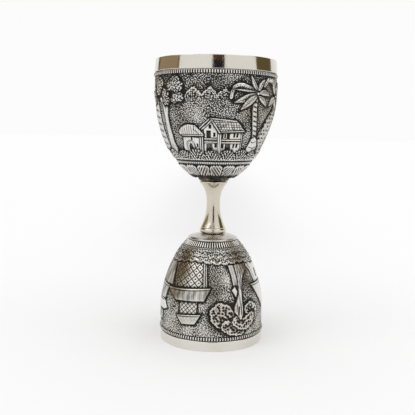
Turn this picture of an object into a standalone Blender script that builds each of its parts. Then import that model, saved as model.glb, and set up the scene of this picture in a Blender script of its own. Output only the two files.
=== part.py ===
"""Silver double jigger: two chased cups set mouth out on the ends of a hollow, waisted stem.

Each cup is a plain liner inside a chased shell. A capping band closes the two at the mouth, and a
milled wire covers the seam between the band and the shell. The shells carry the main forms of
their pictures in low relief. Units are metres, +Z is up, and the origin is the centre of the small
cup's mouth, which the jigger stands on. The front faces -Y.
"""

import math

import bmesh
import bpy

MM = 0.001

# Clearance kept at every soldered seam
SEAM = 0.3 * MM

# Sheet gauges
SHELL_GAUGE = 0.6 * MM
LINER_GAUGE = 0.7 * MM

# Large cup, mouth up. The wall runs straight from the lip, then follows a half ellipse as far as
# a flat seat.
LARGE_RADIUS = 22.95 * MM
LARGE_STRAIGHT = 9.45 * MM
LARGE_HEIGHT = 43.7 * MM
LARGE_SEAT_RADIUS = 7.7 * MM
LARGE_BAND_HEIGHT = 4.9 * MM
LARGE_BAND_TAPER = 0.4 * MM

# Small cup, mouth down
SMALL_RADIUS = 19.85 * MM
SMALL_STRAIGHT = 7.75 * MM
SMALL_HEIGHT = 39.4 * MM
SMALL_SEAT_RADIUS = 8.88 * MM
SMALL_BAND_HEIGHT = 3.7 * MM
SMALL_BAND_TAPER = 0.1 * MM

# Capping band at each mouth, and the milled wire above or below it
BAND_PROUD = 0.3 * MM
BAND_EDGE = 0.15 * MM
LIP_THICKNESS = 0.7 * MM
WIRE_HEIGHT = 1.2 * MM
WIRE_PROUD = 0.5 * MM

# Heights of the relief off the wall, and its bands: a calyx of petals over the large cup's seat,
# a bank of grass a little above them, and a fringe of leaves a little way from the small cup's seat
LOW_RELIEF = 0.3 * MM
HIGH_RELIEF = 0.5 * MM
BANK_RELIEF = 0.2 * MM
PETAL_HEIGHT = 4.9 * MM
PETAL_COUNT = 16
PETAL_FIRST = 3.7
BANK_START = 2.0 * MM
BANK_HEIGHT = 3.1 * MM
FRINGE_HEIGHT = 5.3 * MM
FRINGE_START = 2.5 * MM

# Stem, waisted a little above its middle
STEM_LENGTH = 20.0 * MM
STEM_WALL = 0.7 * MM
STEM_WAIST_RADIUS = 2.62 * MM
STEM_WAIST_RISE = 10.5 * MM
STEM_TOP_RADIUS = 5.5 * MM
STEM_TOP_LIP = 0.5 * MM
STEM_TOP_CURVE = 3.0
STEM_FOOT_RADIUS = 5.2 * MM
STEM_FOOT_LIP = 1.2 * MM
STEM_FOOT_CURVE = 1.9

# Collar under the large cup, plate on the small cup, and the pegs that centre the stem on both
COLLAR_OVERHANG = 0.45 * MM
COLLAR_THICKNESS = 1.2 * MM
PLATE_OVERHANG = 0.72 * MM
PLATE_THICKNESS = 1.5 * MM
PLATE_EDGE_THICKNESS = 0.5 * MM
PEG_LENGTH = 1.4 * MM

COLLAR_RADIUS = STEM_TOP_RADIUS + COLLAR_OVERHANG
PLATE_RADIUS = SMALL_SEAT_RADIUS + PLATE_OVERHANG

# Heights above the table, from the small cup's crown up
PLATE_UNDER_Z = SMALL_HEIGHT + SEAM
PLATE_TOP_Z = PLATE_UNDER_Z + PLATE_THICKNESS
FOOT_Z = PLATE_TOP_Z + SEAM
WAIST_Z = FOOT_Z + STEM_WAIST_RISE
STEM_TOP_Z = FOOT_Z + STEM_LENGTH
COLLAR_UNDER_Z = STEM_TOP_Z + SEAM
COLLAR_TOP_Z = COLLAR_UNDER_Z + COLLAR_THICKNESS
RIM_Z = COLLAR_TOP_Z + SEAM + LARGE_HEIGHT

# The pictures' forms. An outline is a row of (degrees to the right of the front, share of the
# picture's height) points, and the share is 0 at the petals or the fringe and 1 at the milled wire.
# A trunk is (degrees, share, half width in degrees) from its foot up. A palm leaf is its root, its
# tip and its half width in degrees. A crown of leaves is (degrees, share, half width in degrees,
# half height as a share).
LARGE_LOW = [
    ((4.6, 0.39), (28.6, 0.40), (31.4, 0.17), (5.4, 0.15)),
    ((-12.0, 0.41), (-4.0, 0.51), (4.5, 0.39), (5.2, 0.15), (-13.0, 0.15)),
    ((-34.2, 0.35), (-36.8, 0.18), (-29.0, 0.16), (-13.6, 0.14), (-12.2, 0.35)),
    ((-26.4, 0.78), (-19.0, 0.86), (-11.2, 0.78), (-19.0, 0.74)),
    ((-12.2, 0.79), (-4.4, 0.87), (3.0, 0.79), (-4.4, 0.74)),
    ((2.0, 0.78), (8.4, 0.84), (14.6, 0.78), (8.4, 0.74)),
]
LARGE_HIGH = [
    ((-4.0, 0.53), (21.7, 0.50), (31.2, 0.39), (4.9, 0.38)),
    ((-38.8, 0.37), (-35.0, 0.43), (-27.0, 0.46), (-19.4, 0.45), (-10.8, 0.35), (-11.6, 0.33), (-34.6, 0.34)),
]
HUT_TURN = -73.0
LARGE_TRUNKS = [
    ((48.8, 0.20, 3.9), (42.2, 0.37, 1.8), (40.6, 0.81, 1.3)),
    ((61.0, 0.20, 3.9), (66.0, 0.43, 1.8), (70.5, 0.79, 1.3)),
    ((-54.0, 0.16, 4.2), (-53.2, 0.37, 2.4), (-52.9, 0.55, 2.0), (-54.8, 0.67, 1.4)),
    ((-74.0, 0.16, 8.0), (-71.0, 0.37, 4.5), (-67.0, 0.59, 3.1), (-66.0, 0.77, 2.2)),
]
LARGE_LEAVES = [
    ((40.6, 0.82), (32.4, 0.97), 1.5),
    ((41.4, 0.83), (50.2, 0.96), 1.5),
    ((39.8, 0.82), (24.0, 0.91), 2.1),
    ((39.6, 0.80), (16.6, 0.70), 2.4),
    ((40.0, 0.79), (23.2, 0.62), 2.4),
    ((41.8, 0.78), (53.4, 0.67), 2.0),
    ((42.0, 0.81), (57.6, 0.785), 1.9),
    ((70.0, 0.80), (50.5, 0.93), 2.2),
    ((70.0, 0.81), (64.0, 0.97), 1.7),
    ((71.0, 0.80), (83.0, 0.97), 2.0),
    ((70.0, 0.78), (58.2, 0.67), 2.2),
    ((71.0, 0.77), (86.0, 0.62), 2.1),
]
LARGE_CROWNS = [
    (-72.0, 0.78, 4.3, 0.093),
    (-61.3, 0.885, 6.0, 0.084),
    (-50.8, 0.77, 4.6, 0.086),
    (-36.4, 0.76, 6.2, 0.06),
    (-39.2, 0.89, 8.5, 0.081),
]
LARGE_BACK = 164.0

SMALL_LOW = [
    ((-55.0, 0.03), (-33.6, -0.01), (-8.4, -0.02), (-6.4, 0.33), (-46.6, 0.37)),
    ((-36.9, 0.51), (-16.0, 0.48), (-16.6, 0.71), (-35.9, 0.73)),
    ((-84.0, -0.02), (-60.0, -0.01), (-54.0, 0.33), (-90.0, 0.37)),
    ((-88.0, 0.70), (-68.0, 0.70), (-69.5, 0.88), (-82.0, 0.89)),
]
SMALL_HIGH = [
    ((-58.6, 0.37), (-1.2, 0.32), (-8.6, 0.50), (-43.0, 0.53)),
    ((-40.2, 0.73), (-11.6, 0.69), (-17.8, 0.83), (-32.7, 0.85)),
    ((-98.0, 0.35), (-60.4, 0.36), (-65.0, 0.56), (-90.0, 0.58)),
    ((-92.0, 0.57), (-66.0, 0.57), (-58.0, 0.69), (-64.0, 0.72), (-90.0, 0.72)),
    ((24.2, 0.02), (26.9, 0.18), (28.6, 0.32), (30.9, 0.44), (29.6, 0.56), (28.6, 0.67), (34.4, 0.77),
     (36.8, 0.70), (35.3, 0.50), (37.0, 0.34), (41.0, 0.20), (50.4, 0.04)),
    ((23.4, 0.32), (26.6, 0.29), (30.8, 0.32), (29.0, 0.44)),
]
SMALL_MIDDLE_LOW = [
    ((53.5, 0.02), (60.0, 0.08), (65.0, 0.29), (103.0, 0.29), (108.0, 0.08), (114.5, 0.02)),
]
SMALL_MIDDLE_HIGH = [
    ((54.5, 0.31), (76.0, 0.66), (92.0, 0.66), (113.5, 0.31)),
]
SMALL_CROWNS = [
    (10.6, 0.66, 12.2, 0.138),
    (21.6, 0.84, 9.8, 0.123),
    (38.4, 0.78, 12.7, 0.119),
    (48.8, 0.67, 8.4, 0.119),
]
SMALL_BACK = 168.0

# Facets round the axis, and points along each curve
CUP_STEPS = 48
LINER_STEPS = 32
STEM_STEPS = 32
WALL_POINTS = 8
WIRE_POINTS = 4
COLLAR_POINTS = 4
FLARE_POINTS = 4
CROWN_POINTS = 7
STRIP_POINTS = 2

# Finishes, each a base colour and a roughness
POLISHED = ((0.80, 0.78, 0.74, 1.0), 0.12)
SATIN = ((0.78, 0.76, 0.72, 1.0), 0.22)
CHASED = ((0.42, 0.41, 0.39, 1.0), 0.35)
TARNISHED = ((0.16, 0.13, 0.10, 1.0), 0.45)


def clear_scene():
    for obj in list(bpy.data.objects):
        bpy.data.objects.remove(obj)


def new_collection(name):
    collection = bpy.data.collections.new(name)
    bpy.context.scene.collection.children.link(collection)
    return collection


def silver(name, finish):
    """A silver surface in one finish, bright where polished and dark where it is tarnished."""
    colour, roughness = finish
    material = bpy.data.materials.new(name)
    material.use_nodes = True
    material.diffuse_color = colour
    shader = material.node_tree.nodes["Principled BSDF"]
    shader.inputs["Base Color"].default_value = colour
    shader.inputs["Metallic"].default_value = 1.0
    shader.inputs["Roughness"].default_value = roughness
    return material


def turned(name, outline, steps, finish, collection):
    """Turn (radius, height) points about Z. The points run down the outer side.

    An outline that starts on the axis closes there, and any other one is a ring."""
    joins = [(i, i + 1) for i in range(len(outline) - 1)]
    if outline[0][0] > 0.0:
        joins.append((len(outline) - 1, 0))
    mesh = bpy.data.meshes.new(name)
    mesh.from_pydata([(r, 0.0, z) for r, z in outline], joins, [])
    mesh.materials.append(silver(name, finish))
    obj = bpy.data.objects.new(name, mesh)
    collection.objects.link(obj)
    screw = obj.modifiers.new("turn", "SCREW")
    screw.steps = steps
    screw.render_steps = steps
    screw.use_merge_vertices = True
    screw.merge_threshold = 0.00001
    screw.use_smooth_shade = True
    return obj


def half_round(radius, middle, bulge, half_height, points):
    """Points down a half ellipse that bulges outwards from a wall at the given radius."""
    arc = []
    for i in range(points + 1):
        angle = math.pi * (0.5 - i / points)
        arc.append((radius + bulge * math.cos(angle), middle + half_height * math.sin(angle)))
    return arc


class Cup:
    """One cup's shape as (radius, depth) points, with depth counted from the lip to the stem."""

    def __init__(self, name, radius, straight, height, seat_radius, band_height, band_taper, ground):
        self.name = name
        self.radius = radius
        self.straight = straight
        self.height = height
        self.seat_radius = seat_radius
        # The half ellipse's long half axis, which brings the wall in to the seat's radius
        self.reach = (height - straight) / math.sqrt(1.0 - (seat_radius / radius) ** 2)
        self.band_height = band_height
        self.band_taper = band_taper
        self.wire_start = band_height + SEAM
        self.shell_start = self.wire_start + WIRE_HEIGHT + SEAM
        # The picture fills the wall from the shell's edge to its ground
        self.picture_end = height - ground

    def wall_radius(self, depth, inset=0.0):
        """Radius of the wall at a depth, set in from the outer surface."""
        share = max(0.0, (depth - self.straight) / (self.reach - inset))
        return (self.radius - inset) * math.sqrt(1.0 - share ** 2)

    def depth(self, share):
        """Depth of a place in the picture, from its share of the picture's height."""
        return self.picture_end + (self.shell_start - self.picture_end) * share

    def relief(self, proud, root):
        """A ring that stands `proud` of the wall as far as the seat, and is rooted `root` inside it."""
        start = self.shell_start + SEAM
        return self.wall(-proud, start)[::-1] + self.wall(root, start)

    def strip(self, proud, root, start, end):
        """A ring that stands `proud` of the wall between two depths, and is rooted `root` inside it."""
        sides = []
        for inset in (-proud, root):
            side = []
            for i in range(STRIP_POINTS + 1):
                depth = start + (end - start) * i / STRIP_POINTS
                side.append((self.wall_radius(depth, inset), depth))
            sides.append(side)
        return sides[0][::-1] + sides[1]

    def wall(self, inset, start):
        """The wall from depth `start` to its seat, set in from the outer surface."""
        radius = self.radius - inset
        reach = self.reach - inset
        end_angle = math.asin((self.height - inset - self.straight) / reach)
        points = [(radius, start)]
        for i in range(WALL_POINTS + 1):
            angle = end_angle * i / WALL_POINTS
            points.append((radius * math.cos(angle), self.straight + reach * math.sin(angle)))
        return points

    def skin(self, inset, gauge, start):
        """A wall of even gauge with a flat floor, open at the mouth."""
        outer = self.wall(inset, start) + [(0.0, self.height - inset)]
        inner = self.wall(inset + gauge, start) + [(0.0, self.height - inset - gauge)]
        return outer[::-1] + inner

    def shell(self):
        return self.skin(0.0, SHELL_GAUGE, self.shell_start)

    def liner(self):
        return self.skin(SHELL_GAUGE + SEAM, LINER_GAUGE, LIP_THICKNESS + SEAM)

    def band(self):
        """A strip outside the liner with a lip over its edge, wider at the wire than at the mouth."""
        strip_inner = self.radius - SHELL_GAUGE
        lip_inner = strip_inner - SEAM - LINER_GAUGE
        wide = self.radius + BAND_PROUD
        narrow = wide - self.band_taper
        return [
            (wide - BAND_EDGE, self.band_height),
            (wide, self.band_height - BAND_EDGE),
            (narrow, BAND_EDGE),
            (narrow - BAND_EDGE, 0.0),
            (lip_inner + BAND_EDGE, 0.0),
            (lip_inner, BAND_EDGE),
            (lip_inner, LIP_THICKNESS),
            (strip_inner, LIP_THICKNESS),
            (strip_inner, self.band_height),
        ]

    def wire(self):
        """A half-round wire that stands proud of the wall, seated level with the shell's inside."""
        half = 0.5 * WIRE_HEIGHT
        middle = self.wire_start + half
        crown = half_round(self.radius, middle, WIRE_PROUD, half, WIRE_POINTS)
        seat = self.radius - SHELL_GAUGE
        return crown + [(seat, self.wire_start), (seat, self.wire_start + WIRE_HEIGHT)]


def bar(places):
    """Outline of a trunk, up its left side and down its right."""
    left = [(angle - half, share) for angle, share, half in places]
    right = [(angle + half, share) for angle, share, half in places]
    return left + right[::-1]


def leaf(cup, root, tip, half):
    """Outline of a leaf, widest a little before the middle of its run."""
    degree = math.radians(cup.radius)
    height = cup.picture_end - cup.shell_start
    run = (tip[0] - root[0]) * degree
    rise = (tip[1] - root[1]) * height
    length = math.hypot(run, rise)
    across = -rise / length * half
    up = run / length * half * degree / height
    middle = (root[0] + (tip[0] - root[0]) * 0.45, root[1] + (tip[1] - root[1]) * 0.45)
    return [root, (middle[0] + across, middle[1] + up), tip, (middle[0] - across, middle[1] - up)]


def crown(angle, share, half_width, half_height):
    """Outline of a crown of leaves, an ellipse of few sides."""
    turns = [2.0 * math.pi * (i + 0.5) / CROWN_POINTS for i in range(CROWN_POINTS)]
    return [(angle + half_width * math.cos(turn), share + half_height * math.sin(turn)) for turn in turns]


def petals(cup):
    """Outlines of the petals, each with an arched head and straight sides down to the seat."""
    pitch = 360.0 / PETAL_COUNT
    height = cup.picture_end - cup.shell_start
    foot = (SEAM + LOW_RELIEF - PETAL_HEIGHT) / height
    head = [(-0.46, 0.7), (-0.25, 0.97), (0.25, 0.97), (0.46, 0.7)]
    outlines = []
    for i in range(PETAL_COUNT):
        middle = PETAL_FIRST + i * pitch
        arch = [(middle + across * pitch, foot * (1.0 - up)) for across, up in head]
        outlines.append([(middle - 0.46 * pitch, foot)] + arch + [(middle + 0.46 * pitch, foot)])
    return outlines


def moved(outlines, turn):
    """The outlines carried round the cup."""
    return [[(turn + angle, share) for angle, share in outline] for outline in outlines]


def mirrored(outlines, turn):
    """The outlines carried round to the back, with left and right changed over."""
    return [[(turn - angle, share) for angle, share in outline] for outline in outlines]


def stencil(name, cup, mouth_down, outlines, collection):
    """Straight prisms over the outlines, each square to its own middle, from inside the cup to
    well outside it."""
    shape = bmesh.new()
    for outline in outlines:
        angles = [angle for angle, share in outline]
        middle = math.radians(0.5 * (min(angles) + max(angles)))
        rings = []
        for away in (0.4 * cup.seat_radius, 1.4 * cup.radius):
            ring = []
            for angle, share in outline:
                depth = cup.depth(share)
                across = cup.wall_radius(depth) * math.sin(math.radians(angle) - middle)
                ring.append(shape.verts.new((
                    across * math.cos(middle) + away * math.sin(middle),
                    across * math.sin(middle) - away * math.cos(middle),
                    depth if mouth_down else RIM_Z - depth,
                )))
            rings.append(ring)
            shape.faces.new(ring)
        count = len(outline)
        for i in range(count):
            after = (i + 1) % count
            shape.faces.new([rings[0][i], rings[0][after], rings[1][after], rings[1][i]])
    bmesh.ops.recalc_face_normals(shape, faces=shape.faces)
    mesh = bpy.data.meshes.new(name)
    shape.to_mesh(mesh)
    shape.free()
    obj = bpy.data.objects.new(name, mesh)
    collection.objects.link(obj)
    as_guide(obj)
    return obj


def as_guide(obj):
    """Marks an object that only shapes others."""
    obj.hide_render = True
    obj.display_type = "WIRE"


def combine(obj, operation, other):
    boolean = obj.modifiers.new(operation.lower(), "BOOLEAN")
    boolean.operation = operation
    boolean.solver = "EXACT"
    boolean.use_self = True
    boolean.object = other


def raise_relief(shell, cup, mouth_down, layers, strips, guides):
    """Adds the relief to a shell. A layer is a height and outlines, which are cut from a ring that
    follows the wall. A strip is a height and two depths, and goes all the way round. The weld
    closes the hairline edges that facets in line with each other leave."""
    rings = []
    for i, (proud, outlines) in enumerate(layers):
        name = f"{cup.name}_layer_{i + 1}"
        outline = upright(cup.relief(proud, SHELL_GAUGE * (0.5 - 0.1 * i)), mouth_down)
        ring = turned(name, outline, CUP_STEPS, CHASED, guides)
        combine(ring, "INTERSECT", stencil(name + "_stencil", cup, mouth_down, outlines, guides))
        rings.append(ring)
    for i, (proud, start, end) in enumerate(strips):
        outline = upright(cup.strip(proud, SHELL_GAUGE * 0.25, start, end), mouth_down)
        rings.append(turned(f"{cup.name}_strip_{i + 1}", outline, CUP_STEPS, CHASED, guides))
    for ring in rings:
        as_guide(ring)
        combine(shell, "UNION", ring)
    weld = shell.modifiers.new("weld", "WELD")
    weld.merge_threshold = 0.02 * MM


def upright(outline, mouth_down):
    """Depths made heights. The outline stays the right way round when the cup is turned over."""
    if mouth_down:
        return outline
    return [(r, RIM_Z - depth) for r, depth in outline[::-1]]


def large_picture(cup):
    """A house and a round hut between palms and broad trees, and the same again at the back."""
    tall = [bar(places) for places in LARGE_TRUNKS]
    tall += [leaf(cup, root, tip, half) for root, tip, half in LARGE_LEAVES]
    tall += [crown(*place) for place in LARGE_CROWNS]
    hut = [LARGE_LOW[2]], [LARGE_HIGH[1]]
    low = LARGE_LOW + mirrored(LARGE_LOW, LARGE_BACK) + moved(hut[0], HUT_TURN) + petals(cup)
    high = LARGE_HIGH + tall + mirrored(LARGE_HIGH + tall, LARGE_BACK) + moved(hut[1], HUT_TURN)
    bank_end = cup.picture_end - BANK_START
    return [(LOW_RELIEF, low), (HIGH_RELIEF, high)], [(BANK_RELIEF, bank_end - BANK_HEIGHT, bank_end)]


def small_picture(cup):
    """Pavilions and a broad tree, the same again at the back, and a house between the two."""
    high = SMALL_HIGH + [crown(*place) for place in SMALL_CROWNS]
    low = SMALL_LOW + mirrored(SMALL_LOW, SMALL_BACK) + SMALL_MIDDLE_LOW
    high = high + mirrored(high, SMALL_BACK) + SMALL_MIDDLE_HIGH
    fringe = (LOW_RELIEF, cup.picture_end, cup.picture_end + FRINGE_HEIGHT)
    return [(LOW_RELIEF, low), (HIGH_RELIEF, high)], [fringe]


def build_cup(cup, mouth_down, layers, strips, collection, guides):
    """The outlines run down the outer side of a cup that stands on its mouth, and turn over for
    one that stands on its seat."""
    outline = upright(cup.shell(), mouth_down)
    shell = turned(cup.name + "_chased_shell", outline, CUP_STEPS, CHASED, collection)
    raise_relief(shell, cup, mouth_down, layers, strips, guides)
    turned(cup.name + "_liner", upright(cup.liner(), mouth_down), LINER_STEPS, SATIN, collection)
    turned(cup.name + "_rim_band", upright(cup.band(), mouth_down), CUP_STEPS, POLISHED, collection)
    turned(cup.name + "_milled_wire", upright(cup.wire(), mouth_down), CUP_STEPS, CHASED, collection)


def stem_radius(z):
    """Outer radius of the stem, which opens from its waist as a power of the distance."""
    if z >= WAIST_Z:
        share = min(1.0, (z - WAIST_Z) / (STEM_TOP_Z - STEM_TOP_LIP - WAIST_Z))
        return STEM_WAIST_RADIUS + (STEM_TOP_RADIUS - STEM_WAIST_RADIUS) * share ** STEM_TOP_CURVE
    share = min(1.0, (WAIST_Z - z) / (WAIST_Z - FOOT_Z - STEM_FOOT_LIP))
    return STEM_WAIST_RADIUS + (STEM_FOOT_RADIUS - STEM_WAIST_RADIUS) * share ** STEM_FOOT_CURVE


def build_stem(collection):
    """A spun tube of even wall, open at both ends, with a short upright lip at each."""
    top = STEM_TOP_Z - STEM_TOP_LIP
    foot = FOOT_Z + STEM_FOOT_LIP
    heights = [STEM_TOP_Z]
    for i in range(FLARE_POINTS):
        share = (i / FLARE_POINTS) ** 1.5
        heights.append(top + (WAIST_Z - top) * share)
    for i in range(FLARE_POINTS + 1):
        heights.append(WAIST_Z + (foot - WAIST_Z) * i / FLARE_POINTS)
    heights.append(FOOT_Z)
    outer = [(stem_radius(z), z) for z in heights]
    inner = [(r - STEM_WALL, z) for r, z in outer[::-1]]
    turned("stem", outer + inner, STEM_STEPS, POLISHED, collection)


def peg_radius(tip_z):
    """The widest peg that clears the stem's bore at the peg's tip."""
    return stem_radius(tip_z) - STEM_WALL - SEAM


def build_collar(collection):
    """A round-edged washer between the large cup's seat and the stem, pegged into the stem."""
    tip_z = STEM_TOP_Z - PEG_LENGTH
    peg = peg_radius(tip_z)
    half = 0.5 * COLLAR_THICKNESS
    edge = half_round(COLLAR_RADIUS - half, COLLAR_UNDER_Z + half, half, half, COLLAR_POINTS)
    outline = [(0.0, COLLAR_TOP_Z)] + edge + [(peg, COLLAR_UNDER_Z), (peg, tip_z), (0.0, tip_z)]
    turned("collar_disc", outline, STEM_STEPS, TARNISHED, collection)


def build_plate(cup, collection):
    """A plate that caps the small cup's crown and thins towards its edge, pegged into the stem."""
    tip_z = FOOT_Z + PEG_LENGTH
    peg = peg_radius(tip_z)
    # The underside clears the flat crown out to its corner, then follows the wall down
    slant = math.sqrt(1.0 - (PLATE_RADIUS / (cup.radius + SEAM)) ** 2)
    edge_under = cup.straight + (cup.reach + SEAM) * slant
    edge_top = edge_under + PLATE_EDGE_THICKNESS
    outline = [
        (0.0, tip_z),
        (peg, tip_z),
        (peg, PLATE_TOP_Z),
        (STEM_FOOT_RADIUS + SEAM, PLATE_TOP_Z),
        (cup.seat_radius, PLATE_UNDER_Z + PLATE_EDGE_THICKNESS),
        (PLATE_RADIUS, edge_top),
        (PLATE_RADIUS, edge_under),
        (cup.seat_radius, PLATE_UNDER_Z),
        (0.0, PLATE_UNDER_Z),
    ]
    turned("foot_plate", outline, STEM_STEPS, POLISHED, collection)


def main():
    clear_scene()
    collection = new_collection("double_jigger")
    guides = new_collection("guides")
    small = Cup("lower", SMALL_RADIUS, SMALL_STRAIGHT, SMALL_HEIGHT, SMALL_SEAT_RADIUS,
                SMALL_BAND_HEIGHT, SMALL_BAND_TAPER, FRINGE_START + FRINGE_HEIGHT)
    large = Cup("upper", LARGE_RADIUS, LARGE_STRAIGHT, LARGE_HEIGHT, LARGE_SEAT_RADIUS,
                LARGE_BAND_HEIGHT, LARGE_BAND_TAPER, PETAL_HEIGHT)
    build_cup(small, True, *small_picture(small), collection, guides)
    build_cup(large, False, *large_picture(large), collection, guides)
    build_stem(collection)
    build_collar(collection)
    build_plate(small, collection)


main()
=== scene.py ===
"""The looks of a silver double jigger: two cups chased with a village among palms, on a waisted stem.

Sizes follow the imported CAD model. They are in millimetres until a mesh is made. Angles are in
degrees round the upright axis, counted to the right from the front, which faces -Y.
"""
import math

import bpy
import numpy as np
from mathutils import Matrix, Vector


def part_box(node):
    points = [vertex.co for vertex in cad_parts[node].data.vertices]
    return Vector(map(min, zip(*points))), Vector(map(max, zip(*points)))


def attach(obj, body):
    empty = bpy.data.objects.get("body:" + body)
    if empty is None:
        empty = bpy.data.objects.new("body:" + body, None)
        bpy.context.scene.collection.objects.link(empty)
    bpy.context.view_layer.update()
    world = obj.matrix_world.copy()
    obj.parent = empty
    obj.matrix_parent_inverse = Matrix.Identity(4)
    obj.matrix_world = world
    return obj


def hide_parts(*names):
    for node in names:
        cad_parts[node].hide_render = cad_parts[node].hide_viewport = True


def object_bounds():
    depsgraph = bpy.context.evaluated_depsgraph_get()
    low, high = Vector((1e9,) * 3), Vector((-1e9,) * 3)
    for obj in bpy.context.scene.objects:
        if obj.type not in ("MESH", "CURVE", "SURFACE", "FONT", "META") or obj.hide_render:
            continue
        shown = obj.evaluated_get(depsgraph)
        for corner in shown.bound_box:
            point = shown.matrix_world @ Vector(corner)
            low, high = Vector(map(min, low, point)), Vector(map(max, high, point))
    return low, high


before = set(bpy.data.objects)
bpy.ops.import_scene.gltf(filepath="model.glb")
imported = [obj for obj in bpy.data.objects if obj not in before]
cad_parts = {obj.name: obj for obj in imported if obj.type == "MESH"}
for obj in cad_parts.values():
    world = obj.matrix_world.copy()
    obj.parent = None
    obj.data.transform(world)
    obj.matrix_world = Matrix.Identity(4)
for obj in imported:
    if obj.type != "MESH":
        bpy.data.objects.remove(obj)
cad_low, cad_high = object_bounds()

MM = 0.001


# THE LINERS
# Inside each chased cup stands a plain cup of spun silver, which holds the measure. Its wall runs
# straight from the lip and then follows an ellipse to a flat floor.

SHELL_GAUGE = 0.6
LINER_GAUGE = 0.7
SEAM = 0.3
LIP_THICKNESS = 0.7
TOP = cad_high.z / MM
LINER_STEPS = 192
LINER_POINTS = 60
FINE_POINTS = 6000


class Cup:
    """One cup's outer wall, with depth counted from its lip towards the stem.

    The radius is constant as far as `straight`. From there to the seat it is the radius times the
    root of one less the square of the share of the ellipse's reach that has been run. `band` is
    the height of the plain strip at the mouth."""

    def __init__(self, radius, straight, height, seat, band, mouth_up):
        self.radius = radius
        self.straight = straight
        self.height = height
        self.seat = seat
        self.band = band
        self.mouth_up = mouth_up
        self.reach = (height - straight) / math.sqrt(1.0 - (seat / radius) ** 2)

    def level(self, depth):
        """The height over the table at a depth."""
        return TOP - depth if self.mouth_up else depth

    def wall(self, inset, start, count):
        """(radius, height) points from depth `start` to the seat, in equal steps along the wall."""
        depth = np.linspace(start, self.height - inset, FINE_POINTS)
        share = np.clip((depth - self.straight) / (self.reach - inset), 0.0, 1.0)
        radius = (self.radius - inset) * np.sqrt(1.0 - share ** 2)
        run = np.concatenate([[0.0], np.cumsum(np.hypot(np.diff(radius), np.diff(depth)))])
        steps = np.linspace(0.0, run[-1], count)
        depth = np.interp(steps, run, depth)
        return np.stack([np.interp(steps, run, radius), self.level(depth)], 1)


LARGE_CUP = Cup(22.95, 9.45, 43.7, 7.7, 4.9, True)
SMALL_CUP = Cup(19.85, 7.75, 39.4, 8.88, 3.7, False)


def mesh_piece(name, points, quads, triangles, flat_from=None):
    """A mesh object at the origin from points in millimetres and arrays of corner numbers.

    Quads come first. Faces from number `flat_from` on are flat and the rest are smooth."""
    mesh = bpy.data.meshes.new(name)
    mesh.vertices.add(len(points))
    mesh.vertices.foreach_set("co", (points * MM).astype(np.float32).ravel())
    corners = np.concatenate([quads.ravel(), triangles.ravel()]).astype(np.int32)
    quad_starts = np.arange(len(quads)) * 4
    starts = np.concatenate([quad_starts, quads.size + np.arange(len(triangles)) * 3])
    mesh.loops.add(len(corners))
    mesh.loops.foreach_set("vertex_index", corners)
    mesh.polygons.add(len(starts))
    mesh.polygons.foreach_set("loop_start", starts.astype(np.int32))
    smooth = np.ones(len(starts), bool)
    if flat_from is not None:
        smooth[flat_from:] = False
    mesh.polygons.foreach_set("use_smooth", smooth)
    mesh.update(calc_edges=True)
    mesh.validate()
    piece = bpy.data.objects.new(name, mesh)
    bpy.context.scene.collection.objects.link(piece)
    return piece


def turned(name, outline, steps, swell=None):
    """A surface of revolution about Z from (radius, height) points that run down its outer side.

    Each point off the axis becomes a ring of corners, and one on the axis a single corner with a
    fan. An outline off the axis at both ends is a closed ring. `swell(angle, point number)` is added
    to the radii, both as arrays."""
    outline = np.asarray(outline, float)
    count = len(outline)
    angles = np.arange(steps) * 2.0 * math.pi / steps
    radii = np.repeat(outline[:, :1], steps, 1)
    if swell is not None:
        radii = radii + swell(angles[None, :], np.arange(count)[:, None])
    heights = np.repeat(outline[:, 1:], steps, 1)
    points = np.stack([radii * np.cos(angles), radii * np.sin(angles), heights], -1).reshape(-1, 3)
    number = np.arange(len(points)).reshape(count, steps)
    on_axis = outline[:, 0] < 1e-6
    number[on_axis] = number[on_axis][:, :1]
    last = count - 1 if on_axis[0] else count
    above = np.arange(last)
    below = (above + 1) % count
    upper, lower = number[above], number[below]
    faces = np.stack([upper, lower, np.roll(lower, -1, 1), np.roll(upper, -1, 1)], -1)
    top_fan, low_fan = on_axis[above], on_axis[below]
    quads = faces[~top_fan & ~low_fan].reshape(-1, 4)
    fans = [faces[top_fan][..., :3].reshape(-1, 3), faces[low_fan][..., [0, 1, 3]].reshape(-1, 3)]
    triangles = np.concatenate(fans)
    used = np.zeros(len(points), bool)
    used[quads.ravel()] = True
    used[triangles.ravel()] = True
    renumber = np.cumsum(used) - 1
    return mesh_piece(name, points[used], renumber[quads], renumber[triangles])


def rounded(outline, radius, spans=4, ends=False):
    """The outline with its corners cut back by `radius`, but by less than half a side, and bridged
    by quadratic curves. `ends` leaves the first and last points as they are."""
    points = np.asarray(outline, float)
    count = len(points)
    made = []
    for number, corner in enumerate(points):
        if ends and number in (0, count - 1):
            made.append(corner[None])
            continue
        before = points[number - 1] - corner
        after = points[(number + 1) % count] - corner
        start = corner + before * min(radius / np.hypot(*before), 0.45)
        end = corner + after * min(radius / np.hypot(*after), 0.45)
        share = np.linspace(0.0, 1.0, spans + 1)[:, None]
        made.append((1 - share) ** 2 * start + 2 * share * (1 - share) * corner + share ** 2 * end)
    return np.concatenate(made)


def fit(piece, slot_name, material, *nodes):
    """Gives a piece its finish and its body, and hides the CAD nodes that it stands for. `slot_name` is not
    used.
    """
    piece.data.materials.append(material)
    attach(piece, "root")
    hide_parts(*nodes)


def new_material(name):
    """A material with its node tree and its Principled shader."""
    material = bpy.data.materials.new(name)
    material.use_nodes = True
    return material, material.node_tree, material.node_tree.nodes["Principled BSDF"]


def node(tree, kind, **values):
    """A shader node with its properties and, by name, the values of its input sockets."""
    made = tree.nodes.new(kind)
    for key, value in values.items():
        if hasattr(made, key):
            setattr(made, key, value)
        else:
            made.inputs[key.replace("_", " ")].default_value = value
    return made


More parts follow.
